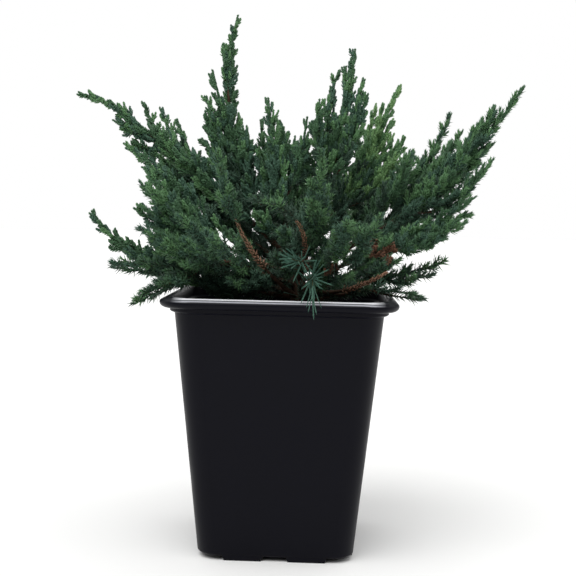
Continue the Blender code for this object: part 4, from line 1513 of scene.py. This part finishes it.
def grow_plant():
    shoots, wood = [], []
    for seed, (name, mass) in enumerate(MASSES.items(), FIRST_SEED):
        more_shoots, more_wood = grow_mass(name, mass, random.Random(seed))
        shoots += more_shoots
        wood += more_wood
    twig = bare_twig()
    wood.append((twig, wood_radii(len(twig), BOUGH_RADIUS)))
    shoots.append(Shoot(twig[TWIG_CLAD_FROM:], STEM_RADIUS, LEADER_GREEN, "scale", STEM_SCALES, "rust"))
    return shoots, wood


SHOOTS, WOOD = grow_plant()
print("shoots", len(SHOOTS), "metres", round(sum(length_of(shoot.points) for shoot in SHOOTS), 1))

# %% [markdown]
# ## Paths that nodes can read
#
# Shoots go to Geometry Nodes as one mesh of bare edges. Each point carries its facts as named attributes,
# which the tree reads while it turns the edges to curves and clads them. One mesh for thousands of shoots
# is far quicker than an object for each.

# %% Write paths as edges with attributes
def path_mesh(name, paths, facts):
    """A mesh of edges along the paths. facts maps a name to a list with one list of numbers for each path."""
    mesh = bpy.data.meshes.new(name)
    places = [point for points in paths for point in points]
    edges = []
    first = 0
    for points in paths:
        edges += [(first + i, first + i + 1) for i in range(len(points) - 1)]
        first += len(points)
    mesh.from_pydata(places, edges, [])
    for key, rows in facts.items():
        attribute = mesh.attributes.new(key, "FLOAT", "POINT")
        attribute.data.foreach_set("value", [value for row in rows for value in row])
    return mesh


def tapered(count, start, end):
    return [start + (end - start) * i / (count - 1) for i in range(count)]


print("points to write", sum(len(shoot.points) for shoot in SHOOTS))

# %% [markdown]
# ## Needles
#
# A juniper needle is a stiff awl: widest at its foot, flat above, keeled below and pointed. Three leave the
# shoot together, and the next three fill the spaces between. There are three leaf forms: the awl, a broader
# scale for the spires, and a long blade for the young shoots. Each has few faces, which is enough at a
# millimetre wide. The tree samples each shoot at the gap of its whorls, makes three copies of each point,
# and turns a needle out at each.

# %% The leaf forms, one unit long and one wide
LEAVES = {
    "awl": (
        [(-0.1, 0.5, 0.0), (-0.1, -0.5, 0.0), (0.42, 0.0, 0.06), (-0.15, 0.0, 1.0)],
        [(0, 1, 2), (0, 3, 1), (1, 3, 2), (2, 3, 0)],
    ),
    "scale": (
        [(0.0, 0.0, 0.0), (-0.1, 0.5, 0.52), (-0.1, -0.5, 0.52), (0.34, 0.0, 0.46), (-0.08, 0.0, 1.0)],
        [(0, 1, 2), (0, 2, 3), (0, 3, 1), (4, 2, 1), (4, 3, 2), (4, 1, 3)],
    ),
    "blade": (
        [(0.0, 0.0, 0.0), (-0.1, 0.5, 0.12), (-0.1, -0.5, 0.12), (0.3, 0.0, 0.12), (-0.1, 0.42, 0.84),
         (-0.1, -0.42, 0.84), (0.24, 0.0, 0.84), (0.0, 0.0, 1.0)],
        [(0, 1, 3), (0, 3, 2), (0, 2, 1), (1, 4, 6, 3), (3, 6, 5, 2), (2, 5, 4, 1), (4, 7, 6), (6, 7, 5),
         (5, 7, 4)],
    ),
}


def leaf_object(name, places, faces):
    mesh = bpy.data.meshes.new(name)
    mesh.from_pydata(places, [], faces)
    form = bmesh.new()
    form.from_mesh(mesh)
    bmesh.ops.recalc_face_normals(form, faces=form.faces)
    return new_object(name, mesh_from(form, name))


LEAF_FORM = {name: leaf_object(name, places, faces) for name, (places, faces) in LEAVES.items()}
print("leaves", {name: triangles(leaf.data) for name, leaf in LEAF_FORM.items()}, "triangles")

# %% Clothe a path in whorls of needles
NEEDLES_A_WHORL = 3
WHORL_TURN = math.pi / NEEDLES_A_WHORL + 0.11
CHANCE = {"about": (-0.3, 0.3), "lean": (0.75, 1.25), "length": (0.8, 1.12)}


def needle_tree():
    tree, sockets = geometry_tree("clad in needles", {
        "Needle": "Object", "Seed": "Int", "Surface": "Material",
    })
    read = {
        name: add(tree, "GeometryNodeInputNamedAttribute", {"data_type": "FLOAT"}, {"Name": name})
        for name in ("gap", "lean", "needle", "width", "whorl")
    }
    chance = {
        name: add(tree, "FunctionNodeRandomValue", {"data_type": "FLOAT"}, {
            2: low, 3: high, "Seed": sockets["Seed"],
        }).outputs[1]
        for name, (low, high) in CHANCE.items()
    }
    curves = add(tree, "GeometryNodeMeshToCurve", None, {"Mesh": sockets["Geometry"]})
    whorls = add(tree, "GeometryNodeResampleCurve", {"mode": "LENGTH"}, {
        "Curve": curves, "Length": read["gap"],
    })
    points = add(tree, "GeometryNodeCurveToPoints", {"mode": "EVALUATED"}, {"Curve": whorls})
    index = add(tree, "GeometryNodeInputIndex")
    stored = add(tree, "GeometryNodeStoreNamedAttribute", {"data_type": "FLOAT", "domain": "POINT"}, {
        "Geometry": points, "Name": "whorl", "Value": index,
    })
    copies = add(tree, "GeometryNodeDuplicateElements", {"domain": "POINT"}, {
        "Geometry": stored, "Amount": NEEDLES_A_WHORL,
    })
    own = add(tree, "ShaderNodeMath", {"operation": "MULTIPLY"}, {
        0: copies.outputs["Duplicate Index"], 1: math.tau / NEEDLES_A_WHORL,
    })
    even = add(tree, "ShaderNodeMath", {"operation": "MULTIPLY_ADD"}, {
        0: read["whorl"], 1: WHORL_TURN, 2: own,
    })
    about = add(tree, "ShaderNodeMath", {"operation": "ADD"}, {0: even, 1: chance["about"]})
    lean = add(tree, "ShaderNodeMath", {"operation": "MULTIPLY"}, {0: read["lean"], 1: chance["lean"]})
    long = add(tree, "ShaderNodeMath", {"operation": "MULTIPLY"}, {0: read["needle"], 1: chance["length"]})
    turned = add(tree, "FunctionNodeAxesToRotation", {"primary_axis": "Z", "secondary_axis": "X"}, {
        0: points.outputs["Tangent"], 1: points.outputs["Normal"],
    })
    for axis, angle in (((0, 0, 1), about), ((0, 1, 0), lean)):
        turn = add(tree, "FunctionNodeAxisAngleToRotation", None, {0: axis, 1: angle})
        turned = add(tree, "FunctionNodeRotateRotation", {"rotation_space": "LOCAL"}, {0: turned, 1: turn})
    size = add(tree, "ShaderNodeCombineXYZ", None, {"X": read["width"], "Y": read["width"], "Z": long})
    needle = add(tree, "GeometryNodeObjectInfo", None, {"Object": sockets["Needle"]})
    placed = add(tree, "GeometryNodeInstanceOnPoints", None, {
        "Points": copies, "Instance": needle.outputs["Geometry"], "Rotation": turned, "Scale": size,
    })
    return end_tree(tree, placed, sockets["Surface"])


NEEDLE_TREE = needle_tree()
print("nodes in the needle tree", len(NEEDLE_TREE.nodes))

# %% [markdown]
# ## The needles' colours
#
# The green of this juniper is dull and a little blue, because each needle carries a thin bloom of wax. The
# bloom scatters light, so needles are matt with a weak sheen. New tips are fresher and yellower, and inner
# sprays get the deep tone as painted shade. Each tone is a plain base colour dealt out by the spray, with a
# faint mottle so that no two sprays match.

# %% One waxy leaf surface for each tone
TONES = {
    # deep is the painted shade of the inner sprays, and one of the tones dealt out to the low sprays.
    "deep": ("#26402f", "#2e4c38"),
    "blue": ("#335442", "#3f634c"),
    "mid": ("#36593a", "#436a44"),
    "fresh": ("#4d7549", "#5a8453"),
    "light": ("#648c55", "#769d62"),
    "young": ("#335a4a", "#446e5c"),
    "dead": ("#5a3c2c", "#86593e"),
    "rust": ("#7c5341", "#bd8f72"),
}
WAX = {
    "Roughness": 0.55,
    "Specular IOR Level": 0.35,
    "Sheen Weight": 0.12,
    "Sheen Roughness": 0.6,
    "Sheen Tint": linear("#b9cfc6"),
}
LEAF = {
    tone: patterned("waxy_needle_" + tone, WAX, colours, (Noise(7.0, 2.0),))[0]
    for tone, colours in TONES.items()
}
print("tones", list(LEAF))

# %% Clad the shoots, one tone at a time
LEAN_ENDS = (1.05, 0.5)
LENGTH_ENDS = (1.05, 0.65)
BACK_FROM = 0.018
PLURAL = {"awl": "needles", "scale": "scales", "blade": "long_needles"}


def needle_facts(shoot):
    """Needles close up and shorten towards the end of a shoot, which gives it a round, blunt tip."""
    count = len(shoot.points)
    length, lean = shoot.needles.length * MM, math.radians(shoot.needles.lean)
    return {
        "gap": [shoot.needles.gap * MM] * count,
        "lean": tapered(count, *[lean * share for share in LEAN_ENDS]),
        "needle": tapered(count, *[length * share for share in LENGTH_ENDS]),
        "width": [shoot.needles.width * MM] * count,
    }


def clad(name, shoots, form, tone, seed):
    rows = [needle_facts(shoot) for shoot in shoots]
    facts = {key: [row[key] for row in rows] for key in rows[0]}
    mesh = path_mesh(name, [shoot.points for shoot in shoots], facts)
    return run_tree(name, NEEDLE_TREE, mesh, {"Needle": LEAF_FORM[form], "Seed": seed, "Surface": LEAF[tone]})


def side_of(shoot):
    root = shoot.points[0]
    if root.y > BACK_FROM:
        return "back"
    return "left" if root.x < TRUNK_FOOT.x else "right"


mass_nodes = [name for name in MASSES if name in NODES]
for seed, tone in enumerate(TONES):
    for form in PLURAL:
        for side in ("left", "right", "back"):
            chosen = [
                shoot for shoot in SHOOTS if (shoot.tone, shoot.form, side_of(shoot)) == (tone, form, side)
            ]
            if chosen:
                piece = clad(f"{PLURAL[form]}_{tone}_{side}", chosen, form, tone, seed)
                finish_piece(piece, mass_nodes)
for leaf in LEAF_FORM.values():
    remove(leaf)

# %% [markdown]
# ## Green twigs
#
# The twigs under the needles are green and about a millimetre thick. They show only as dark lines between
# the needles, so each is a tube of three sides, swept along its path by Geometry Nodes with a radius that
# tapers.

# %% Sweep tubes along the shoots
TWIG = {"Roughness": 0.7, "Specular IOR Level": 0.3}


def begin_sweep(name, sockets):
    """A tree that turns paths to curves and has a round outline to sweep along them."""
    tree, sockets = geometry_tree(name, {"Sides": "Int", "Surface": "Material", **sockets})
    curves = add(tree, "GeometryNodeMeshToCurve", None, {"Mesh": sockets["Geometry"]})
    outline = add(tree, "GeometryNodeCurvePrimitiveCircle", {"mode": "RADIUS"}, {
        "Resolution": sockets["Sides"], "Radius": 1.0,
    })
    return tree, sockets, curves, outline


def swept(tree, curves, outline):
    """Closed tubes with that outline along the curves, as thick as their paths say."""
    thick = add(tree, "GeometryNodeInputNamedAttribute", {"data_type": "FLOAT"}, {"Name": "thick"})
    return add(tree, "GeometryNodeCurveToMesh", None, {
        "Curve": curves, "Profile Curve": outline, "Scale": thick, "Fill Caps": True,
    })


def tube_tree():
    tree, sockets, curves, outline = begin_sweep("sweep a tube", {})
    return end_tree(tree, swept(tree, curves, outline), sockets["Surface"])


def make_twigs():
    surface = patterned("green_juniper_twig", TWIG, ("#2b3c27", "#4b4a2c"), (Noise(4.0, 2.0),))[0]
    thick = [tapered(len(shoot.points), shoot.root, shoot.tip) for shoot in SHOOTS]
    mesh = path_mesh("green_twigs", [shoot.points for shoot in SHOOTS], {"thick": thick})
    return run_tree("green_twigs", tube_tree(), mesh, {"Sides": 3, "Surface": surface})


finish_piece(make_twigs(), [])

# %% [markdown]
# ## Bark
#
# Juniper bark is thin and red-brown, and comes away in narrow strips along the stem. It is dry and matt.
# The trunk and boughs are swept like the twigs, with more sides, and then pushed in and out by a noise that
# is stretched along each limb. The noise reads how far along and how far round the limb a point is, so the
# strips follow every bend.

# %% Sweep the wood and raise its strips
STRIP_STRETCH = 90.0
STRIP_NOISE = {"Scale": 3.2, "Detail": 3.0}
WOOD_SIZES = {"Sides": 10, "Step": 2.4 * MM, "Relief": 0.9 * MM}
BARK = {"Roughness": 0.85, "Specular IOR Level": 0.25}
STRIPS = Noise(2.2, 4.0, 0.6)
TRUNK_STEPS = 12


def bark_tree():
    tree, sockets, curves, outline = begin_sweep("sweep bark", {"Step": "Float", "Relief": "Float"})
    even = add(tree, "GeometryNodeResampleCurve", {"mode": "LENGTH"}, {
        "Curve": curves, "Length": sockets["Step"],
    })
    length = add(tree, "GeometryNodeSplineParameter").outputs["Length"]
    position = add(tree, "GeometryNodeInputPosition")
    marked, read = {}, {}
    for name, kind, geometry, value in (
        ("along", "FLOAT", even, length), ("around", "FLOAT_VECTOR", outline, position),
    ):
        marked[name] = add(tree, "GeometryNodeStoreNamedAttribute", {"data_type": kind, "domain": "POINT"}, {
            "Geometry": geometry, "Name": name, "Value": value,
        })
        read[name] = add(tree, "GeometryNodeInputNamedAttribute", {"data_type": kind}, {"Name": name})
    tube = swept(tree, marked["along"], marked["around"])
    along = add(tree, "ShaderNodeMath", {"operation": "MULTIPLY"}, {0: read["along"], 1: STRIP_STRETCH})
    upright = add(tree, "ShaderNodeCombineXYZ", None, {"Z": along})
    place = add(tree, "ShaderNodeVectorMath", {"operation": "ADD"}, {0: read["around"], 1: upright})
    strips = add(tree, "ShaderNodeTexNoise", None, {"Vector": place, **STRIP_NOISE})
    signed = add(tree, "ShaderNodeMath", {"operation": "SUBTRACT"}, {0: strips, 1: 0.5})
    height = add(tree, "ShaderNodeMath", {"operation": "MULTIPLY"}, {0: signed, 1: sockets["Relief"]})
    outwards = add(tree, "GeometryNodeInputNormal")
    push = add(tree, "ShaderNodeVectorMath", {"operation": "SCALE"}, {0: outwards, "Scale": height})
    raised = add(tree, "GeometryNodeSetPosition", None, {"Geometry": tube, "Offset": push})
    return end_tree(tree, raised, sockets["Surface"])


def make_bark():
    surface = patterned(
        "flaking_juniper_bark", BARK, ("#33261d", "#5e4838"), (STRIPS,), reach=(0.35, 0.7),
        bump=Bump(0.6, 0.3), squash=(1.0, 1.0, 0.35),
    )[0]
    heights = [TRUNK_HEIGHT * step / TRUNK_STEPS for step in range(TRUNK_STEPS + 1)]
    paths = [[trunk_axis(height) for height in heights]] + [points for points, radii in WOOD]
    thick = [[trunk_radius(height) for height in heights]] + [radii for points, radii in WOOD]
    mesh = path_mesh("barked_wood", paths, {"thick": thick})
    return run_tree("barked_wood", bark_tree(), mesh, {"Surface": surface, **WOOD_SIZES})


wood_nodes = [name for name in NODES if name == "trunk" or name.startswith("bough_")]
finish_piece(make_bark(), wood_nodes)
